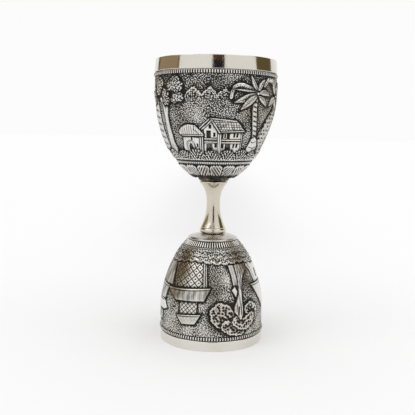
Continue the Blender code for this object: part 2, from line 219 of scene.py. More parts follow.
def ramp(tree, source, low, high, to_low=0.0, to_high=1.0):
    """A Map Range node that clamps, from `low`..`high` to `to_low`..`to_high`."""
    made = node(tree, "ShaderNodeMapRange", From_Min=low, From_Max=high, To_Min=to_low, To_Max=to_high)
    tree.links.new(source, made.inputs["Value"])
    return made.outputs["Result"]


def noise(tree, scale, detail, stretch=None):
    """Noise on Object coordinates with `scale` waves to the metre, stretched by a Mapping node."""
    place = tree.nodes.new("ShaderNodeTexCoord").outputs["Object"]
    if stretch is not None:
        mapping = node(tree, "ShaderNodeMapping", Scale=stretch)
        tree.links.new(place, mapping.inputs["Vector"])
        place = mapping.outputs["Vector"]
    made = node(tree, "ShaderNodeTexNoise", Scale=scale, Detail=detail)
    tree.links.new(place, made.inputs["Vector"])
    return made.outputs["Fac"]


def math_node(tree, kind, first, second):
    """One Math node. Each operand is a socket or a number."""
    made = node(tree, "ShaderNodeMath", operation=kind)
    for socket, value in zip(made.inputs, (first, second)):
        if isinstance(value, float):
            socket.default_value = value
        else:
            tree.links.new(value, socket)
    return made.outputs[0]


def mix_colours(tree, share, first, second):
    """A colour that goes from `first` to `second` with `share`. Each colour is a socket or a tuple."""
    made = node(tree, "ShaderNodeMix", data_type="RGBA")
    tree.links.new(share, made.inputs[0])
    for socket, colour in ((made.inputs[6], first), (made.inputs[7], second)):
        if isinstance(colour, tuple):
            socket.default_value = (*colour, 1.0)
        else:
            tree.links.new(colour, socket)
    return made.outputs[2]


def add_bump(tree, height, strength, distance):
    """Turns a height into bumps up to `distance` millimetres high on the shader's normal."""
    bumps = node(tree, "ShaderNodeBump", Strength=strength, Distance=distance * MM)
    tree.links.new(height, bumps.inputs["Height"])
    tree.links.new(bumps.outputs["Normal"], tree.nodes["Principled BSDF"].inputs["Normal"])


def make_wear_group():
    """Years of handling on bright silver: a warm tarnish in soft patches, dulled patches, and the
    height of shallow dents with hairline scratches."""
    group = bpy.data.node_groups.new("handling_wear", "ShaderNodeTree")
    for label in ("Tarnish", "Dull", "Gloss", "Scratches"):
        group.interface.new_socket(label, in_out="INPUT", socket_type="NodeSocketFloat")
    for label in ("Tarnish", "Roughness", "Height"):
        group.interface.new_socket(label, in_out="OUTPUT", socket_type="NodeSocketFloat")
    given = group.nodes.new("NodeGroupInput").outputs
    result = group.nodes.new("NodeGroupOutput").inputs
    broad = ramp(group, noise(group, 95.0, 4.0), 0.42, 0.72)
    speck = ramp(group, noise(group, 900.0, 3.0), 0.45, 0.8)
    patches = math_node(group, "ADD", broad, math_node(group, "MULTIPLY", speck, 0.35))
    group.links.new(math_node(group, "MULTIPLY", patches, given["Tarnish"]), result["Tarnish"])
    worn = ramp(group, noise(group, 240.0, 5.0), 0.35, 0.7)
    dulled = math_node(group, "MULTIPLY", worn, given["Dull"])
    group.links.new(math_node(group, "ADD", dulled, given["Gloss"]), result["Roughness"])
    hairs_up = ramp(group, noise(group, 700.0, 2.0, (6.0, 6.0, 0.5)), 0.56, 0.62)
    hairs_round = ramp(group, noise(group, 700.0, 2.0, (0.6, 0.6, 7.0)), 0.55, 0.62)
    hairs = math_node(group, "MULTIPLY", math_node(group, "ADD", hairs_up, hairs_round), given["Scratches"])
    dents = math_node(group, "MULTIPLY", noise(group, 120.0, 1.0), 4.0)
    group.links.new(math_node(group, "SUBTRACT", dents, hairs), result["Height"])
    return group


WEAR_GROUP = make_wear_group()


def bright_silver(name, colour, stain, tarnish, dull, gloss, scratches, bump):
    """Polished silver with the handling wear, its colour pulled towards `stain` by the tarnish."""
    material, tree, shader = new_material(name)
    shader.inputs["Metallic"].default_value = 1.0
    wear = node(tree, "ShaderNodeGroup", node_tree=WEAR_GROUP,
                Tarnish=tarnish, Dull=dull, Gloss=gloss, Scratches=scratches)
    tarnished = mix_colours(tree, wear.outputs["Tarnish"], colour, stain)
    tree.links.new(tarnished, shader.inputs["Base Color"])
    tree.links.new(wear.outputs["Roughness"], shader.inputs["Roughness"])
    add_bump(tree, wear.outputs["Height"], 1.0, bump)
    return material


LINER_SILVER = bright_silver("liner_silver", (0.70, 0.675, 0.625), (0.50, 0.42, 0.31),
                             tarnish=0.4, dull=0.16, gloss=0.2, scratches=1.0, bump=0.004)


def liner_outline(cup):
    """Both faces of the liner, from one end on the axis to the other, down its outer side."""
    start = LIP_THICKNESS + SEAM
    outer = cup.wall(SHELL_GAUGE + SEAM, start, LINER_POINTS)
    inner = cup.wall(SHELL_GAUGE + SEAM + LINER_GAUGE, start, LINER_POINTS)
    floor_outer = np.array([[0.0, outer[-1, 1]]])
    floor_inner = np.array([[0.0, inner[-1, 1]]])
    if cup.mouth_up:
        return np.concatenate([floor_inner, inner[::-1], outer, floor_outer])
    return np.concatenate([floor_outer, outer[::-1], inner, floor_inner])


for side, cup in (("upper", LARGE_CUP), ("lower", SMALL_CUP)):
    liner = turned(side + "_liner_cup", liner_outline(cup), LINER_STEPS)
    fit(liner, "liner_silver", LINER_SILVER, side + "_liner")


# THE CHASED SHELLS
# Each cup's outer wall is a sheet of silver, worked in relief from both sides. A stippled ground
# sinks behind the forms, and dark oxide fills the hollows while the high places are rubbed bright.

SHELL_SPACING = 0.138
BACK_ROW = 12
WIRE_HEIGHT = 1.2
FAR = 1e9


def smooth_step(value):
    """0 below 0, 1 above 1, and three times the square less twice the cube between."""
    held = np.clip(value, 0.0, 1.0)
    return held * held * (3.0 - 2.0 * held)


def blur(field, cells):
    """A Gaussian blur by `cells` grid cells, which wraps round the columns and mirrors the rows."""
    doubled = np.concatenate([field, field[::-1]])
    down = np.fft.fftfreq(doubled.shape[0])[:, None]
    around = np.fft.rfftfreq(doubled.shape[1])[None, :]
    keep = np.exp(-2.0 * (math.pi * cells) ** 2 * (down ** 2 + around ** 2))
    return np.fft.irfft2(np.fft.rfft2(doubled) * keep, doubled.shape)[: len(field)]


def to_segment(x, y, start, end, half_start, half_end):
    """Signed distance to a bar with round ends whose half width goes from one value to another."""
    along = (end[0] - start[0], end[1] - start[1])
    share = ((x - start[0]) * along[0] + (y - start[1]) * along[1]) / (along[0] ** 2 + along[1] ** 2)
    share = np.clip(share, 0.0, 1.0)
    away = np.hypot(x - start[0] - share * along[0], y - start[1] - share * along[1])
    return away - (half_start + (half_end - half_start) * share)


def to_polygon(x, y, corners):
    """Signed distance to a polygon, below zero inside. The nearest edge gives the distance, and the
    number of edges crossed to the right gives the side."""
    away = np.full(x.shape, FAR)
    inside = np.zeros(x.shape, bool)
    for start, end in zip(corners, np.roll(corners, -1, 0)):
        away = np.minimum(away, to_segment(x, y, start, end, 0.0, 0.0))
        spans = (start[1] > y) != (end[1] > y)
        rise = end[1] - start[1] if abs(end[1] - start[1]) > 1e-9 else 1e-9
        inside ^= spans & (x < (end[0] - start[0]) * (y - start[1]) / rise + start[0])
    return np.where(inside, -away, away)


def to_leaf(x, y, root, tip, width, bend):
    """Signed distance to a leaf, and the place along and across it.

    Its midrib is a parabola that stands `bend` off the straight line, and its half width is `width`
    times the sine of half a turn times the share run to the power 0.8."""
    along = np.subtract(tip, root)
    length = np.hypot(*along)
    along = along / length
    run = (x - root[0]) * along[0] + (y - root[1]) * along[1]
    share = np.clip(run / length, 0.0, 1.0)
    side = -(x - root[0]) * along[1] + (y - root[1]) * along[0] - bend * 4.0 * share * (1.0 - share)
    out = np.abs(side) - width * np.sin(math.pi * share ** 0.8)
    beyond = np.maximum(np.maximum(-run, run - length), 0.0)
    return np.hypot(np.maximum(out, 0.0), beyond) + np.minimum(out, 0.0), run, side


def strip(upper, lower):
    """Quads between rows of corner numbers."""
    return np.stack([upper[..., :-1], lower[..., :-1], lower[..., 1:], upper[..., 1:]], -1).reshape(-1, 4)


class Patch:
    """Part of a wall's grid, flattened to millimetres about a middle place: x is to the right and
    y is up. `spot` picks it out of the wall's arrays."""

    def __init__(self, wall, places, margin):
        faced = wall.faced(places)
        self.wall = wall
        self.middle = 0.5 * (faced.min(0) + faced.max(0))
        self.radius = np.interp(self.middle[1], wall.height[::-1], wall.radius[::-1])
        low, high = self.flat(places).min(0) - margin, self.flat(places).max(0) + margin
        across = np.radians((wall.angle - self.middle[0] + 180.0) % 360.0 - 180.0) * self.radius
        up = -wall.run
        columns = np.nonzero((across > low[0]) & (across < high[0]))[0]
        rows = np.nonzero((up > low[1]) & (up < high[1]))[0]
        self.spot = np.ix_(rows, columns)
        self.x, self.y = np.meshgrid(across[columns], up[rows])

    def flat(self, places):
        """(x, y) of (angle, height) places, on the side that the wall faces."""
        faced = self.wall.faced(places)
        across = np.radians(faced[..., 0] - self.middle[0]) * self.radius
        up = -np.interp(faced[..., 1], self.wall.height[::-1], self.wall.run[::-1])
        return np.stack([across, up], -1)

    def to_run(self, places, halves):
        """Signed distance to bars through the places. `halves` is their half width, or one for each."""
        points = self.flat(places)
        halves = np.broadcast_to(halves, len(points))
        away = np.full(self.x.shape, FAR)
        for start, end, first, last in zip(points[:-1], points[1:], halves[:-1], halves[1:]):
            away = np.minimum(away, to_segment(self.x, self.y, start, end, first, last))
        return away

    def to_blobs(self, blobs, scallop):
        """Distance to a union of discs given as (angle, height, radius). The edge is scalloped by
        `scallop` with about one lobe to the millimetre."""
        away = np.full(self.x.shape, FAR)
        for angle, height, radius in blobs:
            middle = self.flat((angle, height))
            x, y = self.x - middle[0], self.y - middle[1]
            lobes = max(5, int(2 * math.pi * radius / 1.15))
            wave = scallop * np.abs(np.sin(0.5 * lobes * np.arctan2(y, x)))
            away = np.minimum(away, np.hypot(x, y) - radius - wave)
        return away


class ChasedWall:
    """A cup's wall laid out flat, to be worked before it is wrapped round the cup.

    Rows run down and columns run round. `relief` is how far the silver stands off the plain wall in
    millimetres, `oxide` is how dark it is, and `stain` is how brown, both from 0 to 1. The dark is
    oxide, and in a few places painted shade; the brown is tarnish, and at the front and on its sides
    painted brown shade as well. Motifs are drawn for the front, and `face` says where they go."""

    def __init__(self, cup, seed):
        fine = cup.wall(0.0, cup.band + SEAM + WIRE_HEIGHT, FINE_POINTS // 2)
        if not cup.mouth_up:
            fine = fine[::-1]
        run = np.concatenate([[0.0], np.cumsum(np.hypot(*np.diff(fine, axis=0).T))])
        self.run = np.linspace(0.0, run[-1], int(run[-1] / SHELL_SPACING) + 1)
        self.radius = np.interp(self.run, run, fine[:, 0])
        self.height = np.interp(self.run, run, fine[:, 1])
        slope = np.stack([np.gradient(self.radius, self.run), np.gradient(self.height, self.run)], 1)
        self.normal = np.stack([-slope[:, 1], slope[:, 0]], 1) / np.hypot(*slope.T)[:, None]
        self.columns = 4 * int(2.0 * math.pi * cup.radius / SHELL_SPACING / 4)
        self.angle = np.arange(self.columns) * 360.0 / self.columns - 180.0
        self.shape = (len(self.run), self.columns)
        self.relief = np.zeros(self.shape)
        self.oxide = np.zeros(self.shape)
        self.stain = np.zeros(self.shape)
        self.seed = seed
        self.z = np.repeat(self.height[:, None], self.columns, 1)
        self.a = np.repeat(self.angle[None, :], len(self.run), 0)
        self.face(0.0)

    def face(self, turn, flip=1):
        """Puts the motifs that follow round the cup by `turn`, mirrored first where `flip` is -1."""
        self.turn = turn
        self.flip = flip

    def faced(self, places):
        """(angle, height) places moved to the side that the wall faces."""
        places = np.array(places, float)
        places[..., 0] = self.turn + self.flip * places[..., 0]
        return places

    def white_noise(self, seed):
        """Unit random numbers over the grid, the same each time for a seed."""
        return np.random.default_rng(self.seed + seed).standard_normal(self.shape)

    def cloud(self, size, seed):
        """Smooth noise of unit spread with lumps `size` millimetres wide."""
        made = blur(self.white_noise(seed), size / SHELL_SPACING / 2.0)
        return made / made.std()

    def ripple(self, size, seed):
        """Noise whose waves are all about `size` millimetres long, of unit spread: a ring is kept of
        the spectrum of white noise."""
        down = np.fft.fftfreq(self.shape[0])[:, None]
        around = np.fft.rfftfreq(self.shape[1])[None, :]
        waves = np.hypot(down, around) * size / SHELL_SPACING
        ring = np.exp(-((waves - 1.0) / 0.3) ** 2)
        made = np.fft.irfft2(np.fft.rfft2(self.white_noise(seed)) * ring, self.shape)
        return made / made.std()

    def scatter(self, pitch, seed):
        """Distance from each grid point to the nearest of many punch marks that stand one to each
        square of a net, and a number from 0 to 1 that belongs to that mark."""
        around = int(2.0 * math.pi * self.radius.max() / pitch)
        down = int(self.run[-1] / pitch) + 3
        random = np.random.default_rng(self.seed + seed)
        offset = random.uniform(0.12, 0.88, (2, down, around))
        value = random.uniform(size=(down, around))
        across = (self.angle + 180.0) / 360.0 * around
        along = self.run / pitch + 1.0
        square = 2.0 * math.pi * self.radius[:, None] / around
        best = np.full(self.shape, FAR)
        tag = np.zeros(self.shape)
        for step_down in (-1, 0, 1):
            for step_round in (-1, 0, 1):
                row = np.clip(along.astype(int) + step_down, 0, down - 1)[:, None]
                column = (across.astype(int) + step_round)[None, :]
                held = (row, column % around)
                x = (column + offset[0][held] - across[None, :]) * square
                y = (row + offset[1][held] - along[:, None]) * pitch
                away = np.hypot(x, y)
                nearer = away < best
                best = np.where(nearer, away, best)
                tag = np.where(nearer, value[held], tag)
        return best, tag

    def patch(self, places, margin=1.6):
        """The part of the wall within `margin` millimetres of the box round some places."""
        return Patch(self, places, margin)

    def lay(self, cover, top, dark, cut=0.0, shade=0.0, spot=...):
        """In the share `cover` the relief goes to `top` and the oxide to `dark`. Then `cut` comes off
        the relief and `shade` is added to the oxide."""
        self.relief[spot] = self.relief[spot] * (1 - cover) + top * cover - cut
        self.oxide[spot] = np.clip(self.oxide[spot] * (1 - cover) + dark * cover + shade, 0, 1)

    def work(self, patch, distance, top, edge=0.26, oxide=0.1, groove=0.12, halo=0.5):
        """Brings a form up: where `distance` is below zero the surface goes to `top`, over a slope
        `edge` wide. Round its foot runs a groove, and oxide that fades over `halo`."""
        cover = smooth_step(0.5 - distance / edge)
        foot = np.exp(-(np.maximum(distance - 0.3 * edge, 0.0) / halo) ** 2) * (1.0 - cover)
        cut = np.exp(-((distance - 0.5 * edge) / 0.2) ** 2)
        self.lay(cover, top, oxide, groove * cut * (1 - cover), foot, patch.spot)

    def sink(self, patch, distance, depth, edge=0.2, oxide=1.0):
        """Punches a dark place `depth` below the surface where `distance` is below zero."""
        cover = smooth_step(0.5 - distance / edge)
        self.relief[patch.spot] -= depth * cover
        self.oxide[patch.spot] = self.oxide[patch.spot] * (1 - cover) + oxide * cover

    def line(self, places, half, depth, oxide, edge=0.16):
        """A sunk line through (angle, height) places."""
        patch = self.patch(places)
        self.sink(patch, patch.to_run(places, half), depth, edge, oxide)

    def tarnish(self, stains):
        """Brown patches, each an angle, a height, how wide in degrees and how tall in millimetres, and
        a strength. The lists below say which are tarnish and which are painted brown shade as well.
        Each fades out by a Gaussian, its edge broken up by noise."""
        uneven = np.clip(1.0 + 0.2 * self.cloud(2.4, 61), 0.4, 1.5)
        for angle, height, wide, tall, strength in stains:
            off = (self.a - angle + 180.0) % 360.0 - 180.0
            spread = np.exp(-(off / wide) ** 2 - ((self.z - height) / tall) ** 2)
            self.stain[:] = np.clip(self.stain + strength * spread * uneven, 0, 1)

    def wrapped(self, rows, lift, turn):
        """Points `lift` off the plain wall, on some rows and at the angles `turn` in radians."""
        radius = self.radius[rows, None] + self.normal[rows, :1] * lift
        height = self.height[rows, None] + self.normal[rows, 1:] * lift
        return np.stack([radius * np.sin(turn), -radius * np.cos(turn), height], -1)

    def quarters(self, name, material, slot_name, cad_node):
        """Wraps the worked sheet round the cup as four closed quarters.

        A point is the plain wall's point plus its normal times the relief. The back is the plain
        wall a gauge in, with one row in twelve, and flat strips join the two along every edge."""
        rows = len(self.run)
        back_rows = np.unique(np.append(np.arange(0, rows, BACK_ROW), rows - 1))
        nearest = np.searchsorted(0.5 * (back_rows[:-1] + back_rows[1:]), np.arange(rows - 1) + 0.5)
        switch = np.searchsorted(nearest, np.arange(1, len(back_rows)))
        quarter = self.columns // 4
        for number in range(4):
            columns = (np.arange(quarter + 1) + number * quarter + quarter // 2) % self.columns
            turn = np.radians(self.angle[columns])
            front_points = self.wrapped(slice(None), self.relief[:, columns], turn)
            back_points = self.wrapped(back_rows, np.full(len(turn), -SHELL_GAUGE), turn)
            front = np.arange(rows * len(turn)).reshape(rows, -1)
            back = front.size + np.arange(len(back_rows) * len(turn)).reshape(len(back_rows), -1)
            faces = [strip(front[:-1], front[1:]), strip(back[1:], back[:-1]),
                     strip(back[0], front[0]), strip(front[-1], back[-1])]
            triangles = np.concatenate([
                np.stack([front[:-1, -1], front[1:, -1], back[nearest, -1]], 1),
                np.stack([back[:-1, -1], front[switch, -1], back[1:, -1]], 1),
                np.stack([front[1:, 0], front[:-1, 0], back[nearest, 0]], 1),
                np.stack([front[switch, 0], back[:-1, 0], back[1:, 0]], 1),
            ])
            points = np.concatenate([front_points.reshape(-1, 3), back_points.reshape(-1, 3)])
            smooth_faces = len(faces[0]) + len(faces[1])
            piece = mesh_piece(f"{name}_quarter_{number + 1}", points, np.concatenate(faces), triangles,
                               smooth_faces)
            for label, values in (("oxide", self.oxide), ("stain", self.stain)):
                values = np.append(values[:, columns].ravel(), np.ones(back.size))
                layer = piece.data.attributes.new(label, "FLOAT", "POINT")
                layer.data.foreach_set("value", values.astype(np.float32))
            fit(piece, slot_name, material, cad_node)


def make_chased_silver():
    """Silver whose hollows hold oxide. The mesh's `oxide` attribute says where it is black, from oxide
    and in a few places painted shade, and `stain` where it is brown, from tarnish and painted brown
    shade, and noise breaks the edges up. Dark places are matt."""
    material, tree, shader = new_material("chased_silver")
    shader.inputs["Specular IOR Level"].default_value = 0.15
    oxide = node(tree, "ShaderNodeAttribute", attribute_name="oxide").outputs["Fac"]
    stain = node(tree, "ShaderNodeAttribute", attribute_name="stain").outputs["Fac"]
    grain = noise(tree, 2600.0, 3.0)
    rough = math_node(tree, "MULTIPLY", math_node(tree, "SUBTRACT", grain, 0.5), 0.5)
    broad = math_node(tree, "MULTIPLY", math_node(tree, "SUBTRACT", noise(tree, 130.0, 3.0), 0.5), 0.5)
    level = math_node(tree, "ADD", math_node(tree, "ADD", oxide, rough), broad)
    dark = ramp(tree, level, 0.02, 0.84)
    warm = ramp(tree, noise(tree, 62.0, 3.0), 0.5, 0.8)
    rubbed = mix_colours(tree, warm, (0.80, 0.778, 0.73), (0.70, 0.65, 0.56))
    browned = mix_colours(tree, stain, rubbed, (0.27, 0.21, 0.125))
    soot = mix_colours(tree, warm, (0.017, 0.015, 0.012), (0.034, 0.025, 0.018))
    tree.links.new(mix_colours(tree, dark, browned, soot), shader.inputs["Base Color"])
    tree.links.new(ramp(tree, dark, 0.0, 1.0, 0.2, 0.5), shader.inputs["Roughness"])
    tree.links.new(ramp(tree, dark, 0.3, 1.0, 1.0, 0.35), shader.inputs["Metallic"])
    add_bump(tree, grain, 0.5, 0.05)
    return material


CHASED_SILVER = make_chased_silver()


def stipple(wall, level):
    """The ground: bright grains left between the fine marks of a matting punch, thinner in some
    places than in others. `level` is an array that makes it darker."""
    thin = wall.cloud(2.2, 3)
    grain = smooth_step(0.08 + 0.72 * wall.ripple(0.66, 1) + 0.3 * wall.ripple(1.1, 4) - 0.12 * thin)
    wall.relief += 0.08 * grain + 0.03 * wall.cloud(2.4, 2)
    wall.oxide += level + 0.84 - 1.0 * grain + 0.08 * thin


def foliage(wall, blobs, height, knobs):
    """A tree's crown: discs crowded with small leaves, bright with dark round them, in a dark line.
    The knobs' numbers make some leaves darker than others."""
    patch = wall.patch([(a, z) for a, z, _ in blobs], max(r for _, _, r in blobs) + 1.6)
    away = patch.to_blobs(blobs, 0.24)
    ragged = 0.32 + 0.5 * wall.ripple(0.8, 33)[patch.spot]
    leaf = smooth_step(ragged + 0.4 * wall.ripple(1.25, 34)[patch.spot])
    dome = 0.2 * smooth_step(-away / 1.8)
    # The last term is painted shade on each crown's dome: darker towards its rim, lightest in its middle.
    dark = 1.1 - 0.9 * leaf + 0.3 * (knobs[1][patch.spot] - 0.5) - 0.36 * smooth_step(-away / 1.9)
    wall.work(patch, away, height + dome + 0.16 * leaf - 0.08, oxide=np.clip(dark, 0, 1), halo=0.85)


FROND_HEIGHT = 0.5


def frond(wall, root, tip, width, bend):
    """One palm leaf: a toothed blade with a sunk midrib, fine ribs slanting off it and small pits."""
    patch = wall.patch([root, tip], abs(bend) + width + 1.2)
    start, end = patch.flat([root, tip])
    away, run, side = to_leaf(patch.x, patch.y, start, end, width, wall.flip * bend)
    away = away + 0.16 * (0.5 - 0.5 * np.cos(2 * math.pi * run / 0.62))
    rib = np.exp(-(side / 0.12) ** 2)
    veins = np.cos(2 * math.pi * (run - 0.8 * np.abs(side)) / 0.62)
    core = smooth_step((-away - 0.12) / 0.25)
    top = FROND_HEIGHT + 0.12 * smooth_step(-away / width) + 0.04 * veins - 0.12 * rib
    pits = 0.2 * wall.ripple(0.8, 36)[patch.spot]
    dark = core * (0.24 + 0.3 * (0.5 - 0.5 * veins) + 0.6 * rib - pits)
    wall.work(patch, away, top, edge=0.2, oxide=np.clip(dark, 0, 1), halo=0.8)


def drooping_frond(wall, places, half, teeth):
    """A palm leaf that arches over: a pitted rib through the places, and short leaflets like a comb's
    teeth that hang from it. Each tooth is a bar that thins to a point."""
    patch = wall.patch(places, 3.2)
    points = patch.flat(places)
    away = patch.to_run(places, half)
    run = np.concatenate([[0.0], np.cumsum(np.hypot(*np.diff(points, axis=0).T))])
    lean = 0.45 * np.sign(points[-1, 0] - points[0, 0])
    for share in (np.arange(teeth) + 0.5) / teeth:
        root = np.array([np.interp(share * run[-1], run, column) for column in points.T])
        length = 0.5 + 0.5 * math.sin(math.pi * min(share * 1.2, 1.0)) ** 0.6
        tip = root + [lean * length, -length]
        away = np.minimum(away, to_segment(patch.x, patch.y, root, tip, 0.3, 0.06))
    pits = smooth_step(0.3 - 0.6 * wall.ripple(0.85, 37)[patch.spot]) * smooth_step((-away - 0.08) / 0.2)
    top = FROND_HEIGHT + 0.12 * smooth_step(-away / half) - 0.05 * pits
    wall.work(patch, away, top, edge=0.2, oxide=0.06 + 0.6 * pits, halo=0.75)


def trunk(wall, limbs, height, rings, bark=1.1):
    """A trunk with its limbs, each a run of (angle, height) places with half widths, round across.
    Dark slits sit along its middle `rings` apart, or rows of small pits where `rings` is None, and
    faint streaks run up the bark."""
    patch = wall.patch([place for places, _ in limbs for place in places], 2.6)
    away = np.minimum.reduce([patch.to_run(places, halves) for places, halves in limbs])
    if rings is None:
        pitch = 1.5
        row = np.round(patch.y / pitch)
        place = patch.x / pitch + 0.5 * row
        pit = np.hypot((place - np.round(place)) * pitch, patch.y - pitch * row)
        pit = pit + 0.12 * wall.ripple(1.1, 38)[patch.spot]
        shown = smooth_step(0.7 + 0.6 * wall.ripple(2.1, 39)[patch.spot])
        notch = ring = smooth_step((0.46 - pit) / 0.3 + 0.5) * shown
    else:
        ring = (0.5 + 0.5 * np.cos(2 * math.pi * (patch.y + 0.2 * patch.x) / rings)) ** 3
        notch = ring * (0.15 + 0.85 * smooth_step((-away - 0.2) / 0.4))
    streak = np.cos(away * 2.0 * math.pi / 0.62) * smooth_step((-away - 0.2) / 0.3)
    top = height + 0.24 * smooth_step(-away / 1.0) - 0.1 * ring * bark + 0.02 * streak
    dark = np.clip(bark * notch + 0.25 * (1 - streak), 0, 1)
    wall.work(patch, away, top, edge=0.22, oxide=dark, halo=0.9)


def palm(wall, stem, halves, rings, drooping, fronds):
    """A palm: a ringed or pitted trunk up through the places of `stem`, and blades that spring from
    the last of them."""
    trunk(wall, [(stem, halves)], 0.34, rings)
    drooping_frond(wall, *drooping)
    for leaf in fronds:
        frond(wall, *leaf)
    patch = wall.patch([stem[-1]], 2.5)
    wall.work(patch, patch.to_blobs([(*stem[-1], 0.5)], 0.0), 0.64, oxide=0.3, halo=0.15)


def batten(wall, places, half, height=0.13):
    """A thin bright bar through (angle, height) places, with a dark cut along both its sides."""
    patch = wall.patch(places)
    away = patch.to_run(places, half)
    cover = smooth_step(0.5 - away / 0.16)
    cut = np.exp(-((away - 0.22) / 0.19) ** 2) * (1.0 - cover)
    wall.relief[patch.spot] += height * cover - 0.07 * cut
    dark = wall.oxide[patch.spot] * (1 - cover) * (1 - cut) + 0.02 * cover + cut
    wall.oxide[patch.spot] = np.clip(dark, 0, 1)


def bare(x, y):
    """Plain silver, rubbed bright. Like the textures below, it gives the relief and the oxide at
    each place (x, y) of a form."""
    return 0.0, 0.06


def black(x, y):
    """A flat face full of oxide."""
    return 0.0, 1.0


def boards(pitch, light, dark):
    """Upright strokes `pitch` millimetres apart, from one darkness to another."""

    def texture(x, y):
        wave = np.cos(2 * math.pi * (x + 0.1 * y) / pitch)
        return -0.03 * wave, light + (dark - light) * (0.5 + 0.5 * wave)

    return texture


def tiles(x, y):
    """Courses of rounded tiles: each course steps out towards its lower edge and is set off by its
    own amount, and a hash of course and tile gives each tile its tone."""
    course = np.floor(y / 0.85)
    drop = y / 0.85 - course
    place = x / 0.95 + 0.5 * course + 0.3 * np.sin(course * 7.3)
    cell = place % 1.0 - 0.5
    tone = (np.sin(np.floor(place) * 12.9898 + course * 78.233) * 43758.5453) % 1.0
    beside = np.exp(-((np.abs(cell) - 0.5) / 0.13) ** 2)
    seam = beside + np.exp(-((drop + 0.6 * cell ** 2 - 0.15) / 0.14) ** 2)
    return 0.12 * (1.0 - drop) - 0.08 * seam, 0.9 * np.clip(seam, 0, 1) + 0.5 * tone ** 2


def thatch(x, y):
    """Straw laid down the slope, in uneven strands with dark gaps."""
    fine = 0.45 * np.cos(2 * math.pi * (x + 0.12 * y) / 0.53 + 1.0)
    strand = 0.65 * np.cos(2 * math.pi * x / 0.86) + fine
    return 0.04 * strand, 0.24 - 0.42 * strand


def plaster(x, y):
    """A smooth wall, toned by soft upright strokes that sway."""
    tone = np.cos(3.4 * x + 0.7 * np.cos(0.9 * y)) + 0.7 * np.cos(7.7 * x + 1.1 * np.cos(1.3 * y) + 1.0)
    return 0.012 * tone, 0.07 - 0.08 * tone


def opening(wall, places, texture=black):
    """A dark window or door with (angle, height) corners, in a slightly raised frame."""
    patch = wall.patch(places)
    away = to_polygon(patch.x, patch.y, patch.flat(places))
    frame_bar = np.exp(-((away - 0.2) / 0.13) ** 2)
    wall.relief[patch.spot] += 0.05 * frame_bar
    wall.oxide[patch.spot] *= 1.0 - 0.7 * frame_bar
    dark = np.clip(texture(patch.x, patch.y)[1], 0, 1)
    wall.sink(patch, away, 0.2, edge=0.16, oxide=dark)


def window(wall, angle, height, wide, tall):
    """A plain dark opening about a middle place, its size in millimetres."""
    half = math.degrees(0.5 * wide / np.interp(height, wall.height[::-1], wall.radius[::-1]))
    low, high = height - 0.5 * tall, height + 0.5 * tall
    opening(wall, [(angle - half, low), (angle + half, low), (angle + half, high), (angle - half, high)])


def slab(wall, corners, height, texture, edge=0.22, halo=0.5, groove=0.12):
    """A flat form with (angle, height) corners and a texture."""
    patch = wall.patch(corners)
    away = to_polygon(patch.x, patch.y, patch.flat(corners))
    extra, dark = texture(patch.x, patch.y)
    wall.work(patch, away, height + extra, edge, np.clip(dark, 0, 1), groove, halo)


def hut(wall):
    """A round hut: plastered walls with an arched door, under a domed thatch."""
    walls = [(-34, 79.4), (-37, 74.6), (-36.4, 73.9), (-29, 73.4), (-13.4, 72.6), (-12, 79.4)]
    slab(wall, walls, 0.3, plaster)
    window(wall, -24.8, 78.0, 0.62, 1.3)
    window(wall, -19.0, 75.6, 0.62, 1.3)
    arch = [(-31.6, 73.4), (-32, 75.6), (-30.6, 76.9), (-27, 77.4), (-23.4, 76.9), (-22, 75.6), (-22.2, 73.2)]
    slab(wall, arch, 0.36, boards(0.55, 0.05, 0.75), groove=0.03, halo=0.12)
    door = [(-29.2, 73.6), (-29.2, 75.4), (-27.4, 76.4), (-25.4, 76.2), (-24.4, 75), (-24.6, 73.6)]
    opening(wall, door, boards(0.5, 0.5, 1.0))
    batten(wall, [(-14.8, 79.2), (-15.8, 73)], 0.15)
    batten(wall, [(-12.6, 79.2), (-13.6, 72.8)], 0.15)
    batten(wall, [(-24.4, 79), (-17.4, 78.7)], 0.1, 0.05)
    roof = [(-38.8, 79.8), (-37.6, 81), (-35.2, 81.9), (-31.5, 82.6), (-27, 82.9), (-22, 82.8),
            (-19.4, 82.5), (-15.3, 81.1), (-10.8, 79.4), (-11.6, 79), (-34.8, 79)]
    slab(wall, roof, 0.48, thatch, edge=0.3, halo=0.6)
    wall.line([(-20.4, 82.4), (-21.4, 81.2), (-18.2, 80.6), (-16, 79.3)], 0.12, 0.09, 0.95)
    batten(wall, [(-35, 79.15), (-11.8, 79.1)], 0.12, 0.05)


